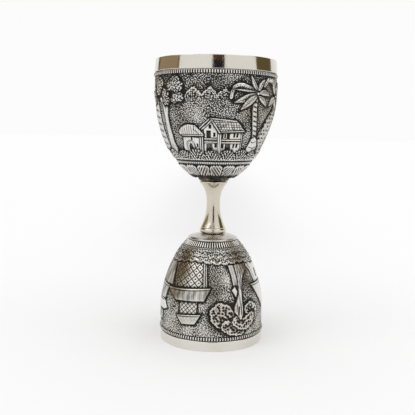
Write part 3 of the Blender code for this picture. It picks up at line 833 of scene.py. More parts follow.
def house(wall):
    """A gabled house on two floors: a front with a balcony, and a wing under a tiled slope."""
    wing = [(4.6, 80.9), (28.6, 81), (31.4, 73.4), (5.4, 72.7)]
    slab(wall, wing, 0.26, plaster)
    gable = [(-12, 81.2), (-4, 84.7), (4.5, 80.9), (5, 72.4), (4, 72.6), (-13, 73)]
    slab(wall, gable, 0.34, plaster)
    for angle, height, wide, tall in [
        (-4.7, 82.3, 0.95, 1.35), (-0.4, 79.5, 0.8, 1.4), (1.2, 75.7, 0.8, 1.35), (7.8, 79.0, 0.8, 1.7),
        (10.8, 79.0, 0.55, 1.4), (20.4, 79.3, 0.7, 1.5), (23.8, 79.3, 0.75, 1.5), (8.6, 75.4, 0.9, 1.4),
        (21.4, 75.6, 0.65, 1.5), (25.2, 75.7, 0.75, 1.5),
    ]:
        window(wall, angle, height, wide, tall)
    for door, light in [
        ([(-8.4, 78.2), (-8.4, 80.9), (-3.8, 80.9), (-3.8, 78.2)], 0.75),
        ([(-9.4, 73), (-9.2, 76.2), (-2.4, 76.3), (-1.6, 73)], 0.45),
        ([(12.4, 77.6), (12.4, 80.2), (15.8, 80.2), (15.8, 77.6)], 0.7),
        ([(11.4, 73.4), (11.6, 76.4), (17.6, 76.4), (18.2, 73.4)], 0.45),
    ]:
        opening(wall, door, boards(0.55, light, 1.0))
    wall.line([(-11, 80.8), (-11.4, 78.4)], 0.14, 0.08, 0.95)
    for left, right, rail, floor in ((-12.6, 4.0, 78.0, 76.9), (6.0, 28.6, 77.6, 76.7)):
        batten(wall, [(left, rail), (right, rail)], 0.17, 0.1)
        batten(wall, [(left, floor), (right, floor)], 0.17, 0.1)
    corner_post = [(3, 80.7), (6.6, 80.5), (6.9, 73.2), (5.4, 72.2), (3.8, 73.2)]
    slab(wall, corner_post, 0.46, bare, edge=0.18, halo=0.16, groove=0.06)
    wall.line([(4.9, 80.3), (5.3, 72.6)], 0.09, 0.1, 1.0)
    for post in ([(-12.2, 81), (-13, 73.2)], [(28.6, 80.6), (31.2, 73.8)]):
        batten(wall, post, 0.15, 0.12)
    slab(wall, [(-4, 85.2), (21.7, 84.3), (31.2, 80.7), (4.9, 80.3)], 0.5, tiles, halo=0.7)
    batten(wall, [(5, 80.45), (31, 80.85)], 0.13, 0.08)
    batten(wall, [(-4, 85.15), (20.9, 84.3)], 0.12, 0.06)
    for barge_board in ([(-4, 85.2), (-15.4, 81.6)], [(-3.9, 84.3), (-13, 81.2)], [(-4, 85), (4.9, 80.2)]):
        batten(wall, barge_board, 0.2, 0.24)


HILL_RIDGE = [(-28.6, 92.4), (-26.6, 94.1), (-24.4, 94.6), (-22.4, 95.4), (-19.2, 96), (-16.4, 94.9),
              (-14.6, 94.4), (-12.6, 93.2), (-10.4, 94.2), (-7.6, 95), (-4.4, 96.1), (-2.4, 95),
              (-0.4, 94.5), (1.2, 93.2), (3.8, 94.3), (6.6, 94.7), (8.8, 95.6), (10.4, 94.6),
              (12.2, 94.2), (14.2, 92.2)]
HILL_FOOT = [(10, 89), (-24, 89)]


def hills(wall, knobs):
    """A ridge of three wooded hills: a ragged bright edge against a dark sky, over knobs that die
    away down the slope."""
    corners = HILL_RIDGE + HILL_FOOT
    patch = wall.patch(corners)
    away = to_polygon(patch.x, patch.y, patch.flat(corners)) + 0.12 * wall.ripple(1.0, 31)[patch.spot]
    held = smooth_step((patch.y - patch.flat(corners)[-1, 1] - 1.0) / 2.6)
    edge = np.exp(-((away + 0.26) / 0.3) ** 2)
    leaf = smooth_step(1.2 - knobs[0][patch.spot] / 0.34)
    near = np.exp(-np.maximum(-away - 1.6, 0.0) / 1.8)
    inside = smooth_step(0.5 - away / 0.24)
    above = np.exp(-(np.maximum(away, 0.0) / 1.2) ** 2) * (1.0 - inside) * held
    top = 0.1 + 0.2 * edge + 0.16 * leaf * near
    dark = 1.02 - 1.1 * np.maximum(edge * (0.7 + 0.3 * leaf), leaf * (0.35 + 0.65 * near))
    wall.lay(inside * held * np.maximum(near, edge), top, dark, 0.05 * above, 0.85 * above, patch.spot)


def meadow(wall, low, high, count, valley):
    """A row of `count` round bushes that stand on the height `low`, reach up to `high` and meet at
    the angle `valley`.

    A bush's leaves stand in arcs round a place under its middle, each arc a step further out and
    half a leaf round. Across an arc they follow the cosine of the angle, with a dark line under it."""
    step = (wall.a - valley) / 360.0 * count
    number = np.floor(step)
    width = 2.0 * math.pi * np.interp(low + 1.5, wall.height[::-1], wall.radius[::-1]) / count
    x = (step % 1.0 - 0.5) * width
    y = wall.z - low
    reach = np.hypot(x, y + 1.3) / 1.05 + 0.12 * wall.ripple(1.4, 23)
    arc = np.floor(reach)
    under = np.exp(-((reach - arc) / 0.22) ** 2)
    leaf = np.cos(np.arctan2(x, y + 1.3) * (arc + 0.6) * 1.05 * 2.0 * math.pi / 0.98 + math.pi * arc)
    leaf = leaf - 0.8 * under + 0.6 * wall.ripple(0.9, 24)
    tall = (high - low) * (0.95 + 0.08 * np.sin(number * 2.4))
    head = tall * (1.0 - 0.42 * np.abs(2.0 * x / width) ** 2.6) + 0.16 * np.clip(leaf, -1, 1)
    away = y - head
    inside = smooth_step(0.5 - away / 0.3) * smooth_step(y / 0.2 + 0.5)
    gap = np.exp(-((0.5 * width - np.abs(x)) / 0.3) ** 2) * smooth_step((y - 0.7) / 0.8)
    foot = np.exp(-((y - 0.3) / 0.32) ** 2)
    top = 0.2 + 0.12 * leaf * (1 - foot) + 0.1 * foot - 0.1 * gap
    # Painted shadow: the oxide added within about a millimetre above the bushes darkens the ground along
    # their tops, as shade under the houses and trees behind them.
    halo = np.exp(-(np.maximum(away, 0.0) / 1.0) ** 2) * (y > 0)
    dark = np.clip((0.8 - 1.3 * leaf + 0.6 * gap) * (1 - 0.8 * foot), 0, 1)
    wall.lay(inside, top, dark, shade=0.95 * halo * (1 - inside))


def beaded_line(wall, height, half, count):
    """A row of `count` beads round the cup, between two dark grooves."""
    bead = 0.5 + 0.5 * np.cos(np.radians(wall.a) * count)
    away = np.abs(wall.z - height)
    body = np.exp(-(away / half) ** 2)
    edge = np.exp(-((away - 2.1 * half) / (0.6 * half)) ** 2)
    held = smooth_step((3.0 * half - away) / half)
    top = 0.26 * body * (0.45 + 0.55 * bead) - 0.08 * edge
    wall.lay(held, top, edge + 0.1 + 0.85 * (1 - bead) * body)


def scored_line(wall, height, half):
    """One dark groove round the cup."""
    cut = np.exp(-((wall.z - height) / half) ** 2)
    wall.relief -= 0.09 * cut
    wall.oxide[:] = np.clip(wall.oxide * (1 - cut) + cut, 0, 1)


def petals(wall, top, count, first):
    """A calyx of overlapping petals from the height `top` down to the seat.

    Each petal is round across and arched at its head, with slanting strokes inside its border."""
    place = (wall.a - first) / 360.0 * count + 0.5
    share = place % 1.0 - 0.5
    number = np.floor(place)
    radius = wall.radius[:, None]
    x = share * 2.0 * math.pi * radius / count
    half = math.pi * radius / count
    head = top - 1.3 * (np.abs(share) * 2.0) ** 4
    inside = smooth_step((head - wall.z) / 0.26 + 0.5)
    gap = np.exp(-((half - np.abs(x)) / 0.2) ** 2)
    crown = np.exp(-((head - wall.z) / 0.14) ** 2)
    border = np.exp(-((half - np.abs(x) - 0.55) / 0.22) ** 2) + np.exp(-((head - wall.z - 0.5) / 0.22) ** 2)
    way = np.where(number % 2 == 0, 1.0, -1.0)
    strokes = np.cos(2 * math.pi * (x + 0.7 * way * (wall.z - top)) / 1.05)
    dome = np.sqrt(np.clip(1.0 - (2.0 * share) ** 2, 0.0, 1.0))
    core = 1.0 - np.clip(border, 0, 1)
    made = 0.42 * dome - 0.12 * np.clip(gap + crown, 0, 1) + 0.04 * (1 - core) + 0.05 * strokes * core
    dark = np.clip(np.clip(1.1 * gap + 0.8 * crown, 0, 1) + (0.4 - 0.95 * strokes) * core * (1 - gap), 0, 1)
    # Painted shade with oxide: the petals go dark within 1.5 mm of the seat, where they meet the collar disc.
    dark = np.clip(dark + smooth_step((wall.height[-1] + 1.5 - wall.z) / 0.5), 0, 1)
    below = smooth_step((top + 0.15 - wall.z) / 0.3 + 0.5)
    wall.lay(below, made * inside - 0.08 * (1 - inside), dark * inside + 1.0 * (1 - inside))


SETTLED = 2.0


def settle_oxide(wall):
    """Hollows darken and heights are rubbed bright: the oxide grows with the surface's depth below
    its own blurred copy, by SETTLED to the millimetre."""
    for reach, share in ((2.0, 0.6), (5.0, 0.4)):
        wall.oxide += SETTLED * share * (blur(wall.relief, reach) - wall.relief)
    wall.oxide[:] = np.clip(wall.oxide, 0.0, 1.0)


def seat(side, outline):
    """The plain disc that closes a shell at its seat."""
    disc = turned(side + "_chased_seat", rounded(outline, 0.1, 3, True), 128)
    fit(disc, "chased_silver", CHASED_SILVER, side + "_chased_shell")


# The large cup's scene: a gabled house and a round hut among palms and broad trees, before hills.
# The motifs carry on round the back, and a calyx of petals closes the wall over the stem.

FRONT_STEM = [(47.6, 75.4), (45.8, 78), (44.6, 80), (41, 84.2), (38.8, 88), (38.6, 90.4), (40.6, 94.1)]
FRONT_HALVES = [1.3, 1.2, 0.92, 0.95, 0.95, 0.9, 0.5]
FRONT_DROOPING = ([(39, 94.7), (35, 95.4), (30, 96.3), (25.4, 96.9), (20.6, 96.9), (16.6, 96),
                   (14.6, 94.2), (13.9, 92.4)], 0.56, 17)
FRONT_FRONDS = [
    ((40.6, 94.6), (32.4, 100.4), 0.85, 0.2),
    ((41.4, 94.8), (50.2, 99.4), 0.8, 0.5),
    ((39.6, 94.6), (13.8, 95.3), 0.42, 0.0),
    ((39.6, 94.0), (16.4, 90.6), 1.25, 0.1),
    ((40.0, 93.5), (23.0, 88.0), 1.25, -0.2),
    ((41.8, 93.2), (53.4, 89.6), 1.0, 0.4),
    ((42.0, 94.2), (57.6, 93.4), 1.05, 0.7),
]
LEANING_STEM = [(61, 74.8), (61.2, 77.4), (61.8, 80.1), (65, 83.5), (72, 86.9), (76, 90.4), (71.6, 93.8)]
LEANING_HALVES = [2.4, 2.7, 2.8, 2.5, 2.2, 1.6, 1.2]
LEANING_DROOPING = ([(71, 94.2), (68, 97.4), (62, 99.2), (55.1, 99.3), (48.8, 97)], 0.56, 16)
LEANING_FRONDS = [
    ((70.0, 94.2), (64.0, 100.3), 0.9, 0.4),
    ((71.0, 94.0), (83.0, 99.6), 1.0, -0.6),
    ((71.0, 93.6), (90.0, 94.0), 1.1, -1.0),
    ((70.0, 93.2), (58.2, 89.8), 1.15, -0.5),
    ((71.0, 93.0), (86.0, 88.0), 1.0, 0.6),
    ((70.5, 93.0), (74.5, 87.6), 0.85, 0.2),
]
LEANING_SHADE = [(70, 90.6), (62.5, 87.2), (54.6, 83.9), (50.8, 80.4), (50.2, 77.4)]
PALM_MOUND = [(38.6, 73.6), (40.4, 75.8), (42.6, 78.2), (46, 78.9), (50.6, 78), (55.6, 75.4), (54, 73.4)]
MOUND_LINES = ([(41.4, 75.3), (48.6, 74.8), (54.4, 75.4)], [(42.4, 77.2), (46, 76.7), (50.4, 77.3)])
BROAD_TREES = [
    ([([(-74, 73.4), (-73, 80), (-72, 86), (-70, 93)], [3.6, 3.2, 2.6, 1.5])], 2.5, 0.55),
    ([([(-55, 73.4), (-54.4, 76.4), (-53.8, 80), (-53.2, 86), (-54.8, 89.6), (-59.6, 92)],
       [2.5, 1.5, 1.2, 0.9, 0.65, 0.45]),
      ([(-52.9, 86), (-50, 89.4), (-45, 91.6)], [0.7, 0.5, 0.4])], 2.6, 0.12),
]
TREE_CROWNS = [
    [(-71.5, 94.6, 1.7), (-72.5, 91.8, 1.5)],
    [(-60.5, 97.2, 2.2), (-63.5, 95.2, 1.7)],
    [(-51.0, 93.8, 1.9), (-50.4, 91.4, 1.6)],
    [(-37.0, 93.3, 1.7), (-33.6, 92.4, 1.5), (-39.6, 91.6, 1.2)],
    [(-38.8, 97.0, 2.6), (-43.5, 96.4, 1.9), (-34.6, 96.2, 1.7)],
]
# Brown patches: those at the front and to its left and right are tarnish with painted brown shade, and those
# round the back are tarnish.
LARGE_TARNISH_AND_PAINTED_SHADE = [(4, 98.5, 9, 3, 0.4), (-48, 100.5, 14, 1.6, 0.5), (60, 84, 12, 7, 0.3),
                (-160, 97, 20, 4, 0.4), (110, 78, 14, 6, 0.4)]

large_wall = ChasedWall(LARGE_CUP, 11)
stipple(large_wall, 0.11 + 0.1 * smooth_step((large_wall.z - 95.0) / 4.0)
        - 0.1 * np.exp(-((large_wall.z - 89.0) / 5.0) ** 2))
scored_line(large_wall, large_wall.height[0] - 0.1, 0.16)
large_knobs = large_wall.scatter(0.8, 7)
large_wall.face(-94.0)
hills(large_wall, large_knobs)
large_wall.face(-73.0)
hut(large_wall)
for turn, flip in ((0.0, 1), (164.0, -1)):
    large_wall.face(turn, flip)
    hills(large_wall, large_knobs)
    for limbs, rings, bark in BROAD_TREES:
        trunk(large_wall, limbs, 0.36, rings, bark)
    for blobs in TREE_CROWNS:
        foliage(large_wall, blobs, 0.42, large_knobs)
    house(large_wall)
    hut(large_wall)
    # A painted shadow: a broad, shallow dark band down the left of the leaning palm's trunk.
    large_wall.line(LEANING_SHADE, 0.5, 0.05, 0.95, 0.6)
    palm(large_wall, LEANING_STEM, LEANING_HALVES, None, LEANING_DROOPING, LEANING_FRONDS)
    palm(large_wall, FRONT_STEM, FRONT_HALVES, 1.65, FRONT_DROOPING, FRONT_FRONDS)
    slab(large_wall, PALM_MOUND, 0.4, plaster)
    for places in MOUND_LINES:
        large_wall.line(places, 0.14, 0.08, 0.9, 0.2)
meadow(large_wall, 70.1, 74.0, 19, 5.9)
scored_line(large_wall, 69.75, 0.24)
beaded_line(large_wall, 68.95, 0.26, 108)
petals(large_wall, 68.35, 16, 3.7)
settle_oxide(large_wall)
large_wall.tarnish(LARGE_TARNISH_AND_PAINTED_SHADE)
large_wall.quarters("upper_chased", CHASED_SILVER, "chased_silver", "upper_chased_shell")
seat_z = large_wall.height[-1]
seat("upper", [(0.0, seat_z + 0.55), (7.2, seat_z + 0.55), (7.3, seat_z + 0.02), (0.0, seat_z + 0.02)])


# The small cup's scene stands on its head: a tall lattice pavilion with two roofs, houses with bare
# walls, and a broad tree with a pierced crown. A fringe of lace leaves and a ring of strokes run
# under the foot plate.


def lattice(pitch, half, dots):
    """Crossed diagonal grooves of the given half width, and in the middle of each lozenge a punched
    dot whose darkness is `dots`."""

    def texture(x, y):
        one, two = (x + y) / pitch, (x - y) / pitch
        near = np.minimum(np.abs(one - np.round(one)), np.abs(two - np.round(two))) * pitch * 0.707
        cross = np.exp(-(near / half) ** 2)
        centre = np.hypot(one - np.floor(one) - 0.5, two - np.floor(two) - 0.5) * pitch * 0.707
        dot = dots * np.exp(-(centre / 0.27) ** 4)
        tone = 0.5 + 0.5 * np.cos(2.3 * x + np.cos(1.9 * y))
        return -0.12 * cross - 0.12 * dot, 0.04 + 0.16 * tone + 0.95 * cross + 1.1 * dot

    return texture


def brushed_ground(wall, level):
    """The ground: small bright grains, drawn out into fine crossed strokes in some patches."""
    x = np.radians(wall.a) * 17.0
    y = -wall.run[:, None]
    sway = 0.25 * wall.cloud(3.0, 5)
    strokes = np.cos(2 * math.pi * (x + 0.7 * y + sway) / 0.86)
    strokes = strokes + np.cos(2 * math.pi * (x - 0.8 * y - sway) / 0.82)
    fade = smooth_step(0.5 + 0.5 * wall.cloud(4.5, 8))
    grain = smooth_step(0.3 + 0.6 * wall.ripple(0.74, 6) + 0.42 * wall.ripple(1.2, 7) + 0.26 * strokes * fade)
    wall.relief += 0.06 * grain + 0.02 * wall.cloud(2.0, 4)
    wall.oxide += level + 0.76 - 0.64 * grain + 0.1 * wall.cloud(2.4, 9)


def lace(wall, low, high, knobs, lobes):
    """A ragged fringe between two heights: knobbed, with bright scalloped lines across it."""
    turn = np.radians(wall.angle)
    wave = 0.55 * np.abs(np.sin(turn * lobes)) + 0.35 * np.sin(np.radians(wall.angle * 5 + 30))
    bottom = low[None, :] - wave[None, :]
    away = np.maximum(bottom - wall.z, wall.z - high) + 0.16 * wall.ripple(0.9, 17)
    hole = smooth_step(1.0 - knobs[0] / 0.3) * (knobs[1] > 0.25)
    rim = np.exp(-((wall.z - bottom - 0.3) / 0.26) ** 2)
    sway = 0.25 * np.sin(np.radians(wall.a * 33)) + 0.12 * wall.cloud(0.9, 18)
    second = np.exp(-((wall.z - bottom - 2.1 - sway) / 0.24) ** 2)
    beside = np.exp(-((wall.z - bottom - 1.6 - sway) / 0.2) ** 2)
    beside = beside + np.exp(-((wall.z - bottom - 3.3 - sway) / 0.22) ** 2)
    cover = smooth_step(0.5 - away / 0.3)
    rough = 0.7 * wall.ripple(0.72, 19) + 0.7 * wall.ripple(1.15, 20)
    top = 0.3 - 0.16 * hole + 0.14 * rim + 0.12 * second - 0.06 * beside + 0.03 * rough
    dark = np.clip(0.5 + 0.6 * hole - 0.6 * rim - 0.45 * second + 0.5 * beside - 0.42 * rough, 0, 1)
    under = np.exp(-(np.maximum(bottom - wall.z, 0.0) / 0.6) ** 2) * (wall.z < bottom + 0.1)
    wall.lay(cover, top, dark, 0.1 * under * (1 - cover), under * (1 - cover))


def radial_ticks(wall, low, high, count):
    """Long bright strokes side by side between two heights, with dark gaps."""
    wave = np.cos(np.radians(wall.a) * count)
    held = smooth_step((wall.z - low) / 0.3 + 0.5) * smooth_step((high - wall.z) / 0.3 + 0.5)
    wall.lay(held, 0.14 + 0.14 * wave, np.clip(0.6 - 1.1 * wave, 0, 1))


def pierced_crown(wall, blobs, height, holes):
    """A tree's crown drawn as lace: dark punched holes in a bright net, with a scalloped rim."""
    patch = wall.patch([(a, z) for a, z, _ in blobs], max(r for _, _, r in blobs) + 1.6)
    away = patch.to_blobs(blobs, 0.3)
    hole = smooth_step(1.6 - holes[0][patch.spot] / 0.42) * (holes[1][patch.spot] < 0.95)
    rim = np.exp(-((away + 0.36) / 0.24) ** 2)
    hole = hole * (1 - smooth_step((away + 0.72) / 0.3))
    top = height + 0.12 * smooth_step(-away / 1.5) + 0.1 * rim - 0.3 * hole
    net = 0.16 - 0.16 * wall.ripple(0.7, 29)[patch.spot]
    wall.work(patch, away, top, edge=0.22, oxide=np.clip(net + hole - 0.3 * rim, 0, 1), halo=1.0)


def plank_strokes(x, y):
    """Boards burnished up and down, in uneven tones that sway and fade."""
    tone = 0.45 * np.cos(2.9 * x + 0.5 * np.cos(1.7 * y))
    tone = tone + 0.35 * np.cos(8.3 * x + 0.9 * np.cos(1.2 * y) + 1.3)
    tone = tone + 0.35 * np.cos(1.15 * x - 0.8 * y + 2.0) + 0.25 * np.cos(13.7 * x + 1.5 * np.cos(2.1 * y))
    return 0.02 * tone, 0.41 - 0.32 * tone


def sanded(x, y):
    """A fine even stipple over a bright face."""
    grains = np.cos(8.3 * x + 2.0 * np.cos(5.1 * y)) * np.cos(8.8 * y + 2.0 * np.cos(4.3 * x))
    return 0.03 * grains, 0.26 - 0.3 * grains


def pavilion(wall):
    """A pavilion seen upside down: two lattice storeys, each under a roof with sloping ends."""
    storey = [(-55, 31), (-33.6, 32), (-8.4, 32.4), (-6.2, 23), (-46.6, 21.9)]
    slab(wall, storey, 0.3, lattice(2.85, 0.18, 1.0), halo=0.9)
    for post in ([(-8.2, 32), (-6, 22.9)], [(-10.6, 32), (-8.6, 22.9)]):
        batten(wall, post, 0.2, 0.16)
    batten(wall, [(-54.6, 30.8), (-46.4, 21.9)], 0.17)
    upper_storey = [(-36.9, 18.2), (-16, 19), (-16.6, 13.2), (-35.9, 12.5)]
    slab(wall, upper_storey, 0.28, lattice(1.65, 0.12, 0.0), halo=0.8)
    slab(wall, [(-58.6, 21.9), (-1.2, 23.3), (-8.6, 18.6), (-43, 17.9)], 0.55, plank_strokes, halo=0.7)
    batten(wall, [(-58.2, 21.75), (-30, 22.2), (-1.8, 23.1)], 0.2, 0.1)
    wall.line([(-43.2, 18.1), (-25, 18.2), (-8.8, 18.8)], 0.1, 0.05, 0.7)
    slab(wall, [(-40.2, 12.6), (-11.6, 13.6), (-17.8, 10), (-32.7, 9.5)], 0.5, sanded, halo=0.7)
    batten(wall, [(-39.8, 12.5), (-12.2, 13.45)], 0.12, 0.06)


def left_house(wall):
    """A house with bare walls beside the pavilion, its eaves lapping over each other."""
    slab(wall, [(-84, 31.6), (-60, 31.4), (-54, 23), (-90, 22)], 0.3, plank_strokes, halo=0.6)
    batten(wall, [(-83, 31.4), (-88.6, 22.2)], 0.18)
    slab(wall, [(-88, 13.3), (-68, 13.3), (-69.5, 8.6), (-82, 8.4)], 0.3, plank_strokes, halo=0.6)
    slab(wall, [(-92, 16.7), (-66, 16.7), (-58, 13.6), (-64, 12.8), (-90, 12.8)], 0.5, plaster, halo=0.6)
    slab(wall, [(-98, 22.5), (-60.4, 22.2), (-65, 17), (-90, 16.5)], 0.5, plank_strokes, halo=0.6)
    batten(wall, [(-97.4, 22.4), (-61, 22.1)], 0.18, 0.08)
    batten(wall, [(-91.4, 16.5), (-66.4, 16.5)], 0.14, 0.06)


def side_house(wall):
    """The house between the tree and its mirrored copy, the same on both sides of its middle."""
    walls = [(53.5, 31.4), (60, 29.5), (65, 24), (103, 24), (108, 29.5), (114.5, 31.4)]
    slab(wall, walls, 0.3, plaster, halo=0.6)
    for sign in (-1, 1):
        batten(wall, [(84 + sign * 28.0, 30.8), (84 + sign * 23.0, 28.8), (84 + sign * 18.6, 24)], 0.18)
        window(wall, 84 + sign * 7.5, 26.8, 1.5, 3.2)
    slab(wall, [(54.5, 23.5), (76, 14.4), (92, 14.4), (113.5, 23.5)], 0.5, plaster, halo=0.7)
    batten(wall, [(55.4, 23.35), (112.6, 23.35)], 0.2, 0.1)
    wall.line([(76.2, 14.6), (91.8, 14.6)], 0.1, 0.05, 0.7)


def pierced_tree(wall, holes):
    """The broad tree: a flared trunk with a leaf at its side, under crowns of pierced lace."""
    for blobs, height in [
        ([(4.8, 14.6, 2.0), (9.6, 15.8, 2.2), (15.4, 15.2, 2.2), (19.6, 13.6, 1.9), (5.6, 12.4, 1.9),
          (10.6, 11.4, 2.4), (16.6, 11.0, 2.3)], 0.42),
        ([(17.4, 9.4, 2.1), (22.6, 8.4, 2.2), (28.6, 7.6, 1.8), (33.0, 7.2, 1.4)], 0.44),
        ([(44.6, 15.0, 1.8), (48.6, 15.6, 1.8), (52.6, 14.6, 1.9), (50.6, 12.2, 2.0)], 0.44),
        ([(28.6, 11.0, 1.8), (33.6, 10.0, 2.0), (39.4, 9.8, 2.1), (44.4, 10.8, 2.0), (48.0, 12.2, 1.4)], 0.5),
    ]:
        pierced_crown(wall, blobs, height, holes)
    board = [(23.2, 31.2), (23.8, 29.8), (25.9, 27.3), (27, 23.4), (33.4, 22.6), (32.8, 26.1), (31.8, 29.5),
             (31.6, 31.2)]
    slab(wall, board, 0.36, boards(1.6, 0.0, 0.45), halo=0.8)
    flared = [(31.8, 31.2), (33.8, 26.6), (33.1, 22.8), (32, 20.5), (29.6, 18.6), (26.2, 16.3), (25.6, 14.5),
              (28.9, 13.3), (33.2, 11.3), (36, 13), (36.4, 15.6), (36, 17.7), (36.2, 20.3), (36.6, 22.7),
              (38.6, 25.2), (42.2, 27.3), (49.6, 29.2), (51.5, 31.2)]
    slab(wall, flared, 0.5, boards(1.35, 0.05, 0.5), halo=0.9)
    for places, half in [
        ([(41.6, 30.2), (37.2, 26.2), (35, 22.7)], 0.16), ([(35.8, 30.6), (35, 27)], 0.14),
        ([(31.8, 16.2), (30.8, 13.4)], 0.3), ([(34.4, 17.4), (34.2, 13.4)], 0.13),
        ([(29, 17), (28.4, 14.8)], 0.13),
    ]:
        wall.line(places, half, 0.1, 0.95, 0.22)
    slab(wall, [(23.9, 22.4), (28.2, 23.5), (30.9, 22), (28.7, 19.8)], 0.5, plaster, halo=0.6)


# Brown patches: those at the front and to its left and right are tarnish with painted brown shade, and those
# round the back and the faint one all over are tarnish.
SMALL_TARNISH_AND_PAINTED_SHADE = [
    (-44, 27.5, 12, 6, 1.2), (-48, 20, 11, 2.4, 0.8), (38, 33.5, 12, 2.6, 1.0), (50, 27, 8, 5, 0.9),
    (-45, 34, 12, 2.4, 0.8), (40, 38.2, 13, 1.2, 0.8), (-86, 26, 20, 5, 0.7), (3, 24, 12, 7, 0.3),
    (150, 27, 15, 6, 0.5), (-140, 33, 18, 3, 0.5), (0, 20, 180, 30, 0.1),
]

small_wall = ChasedWall(SMALL_CUP, 47)
# The first term of the level is painted shade: the ground is darker in a patch at the middle of the front,
# about 22 mm up.
brushed_ground(small_wall, 0.14 * np.exp(-(small_wall.a / 8.0) ** 2 - ((small_wall.z - 22.0) / 10.0) ** 2)
               - 0.08 * np.exp(-((small_wall.z - 8.0) / 6.0) ** 2))
scored_line(small_wall, small_wall.height[-1] + 0.1, 0.16)
small_knobs = small_wall.scatter(0.95, 12)
small_holes = small_wall.scatter(1.08, 13)
for turn, flip in ((0.0, 1), (168.0, -1)):
    small_wall.face(turn, flip)
    left_house(small_wall)
    pavilion(small_wall)
    pierced_tree(small_wall, small_holes)
small_wall.face(0.0)
side_house(small_wall)
fringe_low = 31.8 + 0.5 * np.cos(np.radians(small_wall.angle + 30.0))
lace(small_wall, fringe_low, 36.9, small_knobs, 14)
radial_ticks(small_wall, 36.9, 38.9, 72)
beaded_line(small_wall, 36.8, 0.14, 90)
settle_oxide(small_wall)
small_wall.tarnish(SMALL_TARNISH_AND_PAINTED_SHADE)
small_wall.quarters("lower_chased", CHASED_SILVER, "chased_silver", "lower_chased_shell")
seat_z = small_wall.height[0]
seat("lower", [(0.0, seat_z - 0.02), (8.5, seat_z - 0.02), (8.4, seat_z - 0.55), (0.0, seat_z - 0.55)])


# THE MILLED WIRES
# A half-round wire, rolled with a row of short upright ticks, is soldered over each shell's edge
# where it meets the rim band.

WIRE_PROUD = 0.5
WIRE_HALF_HEIGHT = 0.62
WIRE_POINTS = 8
TICK_DEPTH = 0.24
TICK_STEPS = 8


def milled_wire(name, cup, ticks, cad_node):
    """A ring whose outer side swells by a rounded square wave of the angle, one swell to a tick.

    The section is half an ellipse outside and a flat strip inside, and the gaps are dark."""
    middle = cup.level(cup.band + SEAM + 0.5 * WIRE_HEIGHT)
    turn = np.linspace(0.5 * math.pi, -0.5 * math.pi, WIRE_POINTS)
    arc = np.stack([cup.radius + WIRE_PROUD * np.cos(turn), middle + WIRE_HALF_HEIGHT * np.sin(turn)], 1)
    inner = cup.radius - SHELL_GAUGE
    section = np.concatenate([arc, [[inner, arc[-1, 1]], [inner, arc[0, 1]]]])
    depth = np.append(TICK_DEPTH * np.cos(turn) ** 0.5, [0.0, 0.0])

    def swell(angle, number):
        tick = smooth_step(0.5 + 1.4 * np.cos(angle * ticks))
        uneven = 0.03 * np.sin(angle * 7.0) + 0.03 * np.sin(angle * 31.0)
        return -(1.0 - tick) * depth[number] + uneven * (number < WIRE_POINTS) * 0.5

    piece = turned(name, section, ticks * TICK_STEPS, swell)
    corners = np.empty(len(piece.data.vertices) * 3, np.float32)
    piece.data.vertices.foreach_get("co", corners)
    x, y, _ = corners.reshape(-1, 3).T
    gap = 1.0 - smooth_step(0.4 + 1.3 * np.cos(np.arctan2(y, x) * ticks))
    layer = piece.data.attributes.new("oxide", "FLOAT", "POINT")
    layer.data.foreach_set("value", (1.1 * gap - 0.05).astype(np.float32))
    fit(piece, "chased_silver", CHASED_SILVER, cad_node)


milled_wire("upper_milled_ring", LARGE_CUP, 155, "upper_milled_wire")
milled_wire("lower_milled_ring", SMALL_CUP, 126, "lower_milled_wire")


# THE RIM BANDS
# A plain strip of silver goes round each mouth, with a lip turned over the liner's edge. Both bands
# are polished bright, and handling has rounded their edges.

BAND_PROUD = 0.3
BAND_ROUNDING = 0.26
UPPER_BAND_SILVER = bright_silver("upper_band_silver", (0.70, 0.672, 0.607), (0.56, 0.47, 0.34),
                                  tarnish=0.22, dull=0.05, gloss=0.035, scratches=0.6, bump=0.003)
# The lower band's silver is paler than the upper band's: painted light, making up for the shaded table near
# the foot that it mirrors.
LOWER_BAND_SILVER_PAINTED_LIGHT = bright_silver("lower_band_silver_painted_light", (0.79, 0.765, 0.71), (0.58, 0.50, 0.38),
                                  tarnish=0.22, dull=0.06, gloss=0.05, scratches=0.6, bump=0.003)


def rim_band(name, cup, taper, material, cad_node):
    """The band's section turned about Z: a strip that leans in by `taper` towards a rounded lip.

    Its outer side sways by hundredths of a millimetre, as a hand-finished strip does."""
    inner = cup.radius - SHELL_GAUGE
    mouth = inner - SEAM - LINER_GAUGE
    wide = cup.radius + BAND_PROUD
    corners = np.array([
        (wide, cup.band), (wide - taper, 0.0), (mouth, 0.0),
        (mouth, LIP_THICKNESS), (inner, LIP_THICKNESS), (inner, cup.band),
    ])
    corners[:, 1] = cup.level(corners[:, 1])
    if cup.mouth_up:
        corners = corners[::-1]
    section = rounded(corners, BAND_ROUNDING, 6)

    def sway(angle, number):
        outside = section[:, 0] > cup.radius
        return 0.012 * outside[number] * (np.sin(3 * angle + 0.7) + np.sin(5 * angle + 0.1 * number) - 2.0)

    fit(turned(name, section, 320, sway), "polished_silver", material, cad_node)


rim_band("upper_rim_strip", LARGE_CUP, 0.4, UPPER_BAND_SILVER, "upper_rim_band")
rim_band("lower_rim_strip", SMALL_CUP, 0.1, LOWER_BAND_SILVER_PAINTED_LIGHT, "lower_rim_band")


# THE FOOT PLATE
# A plain plate of silver caps the small cup's crown under the stem. It is polished, and thins to a
# soft edge. A peg on it centres the stem.

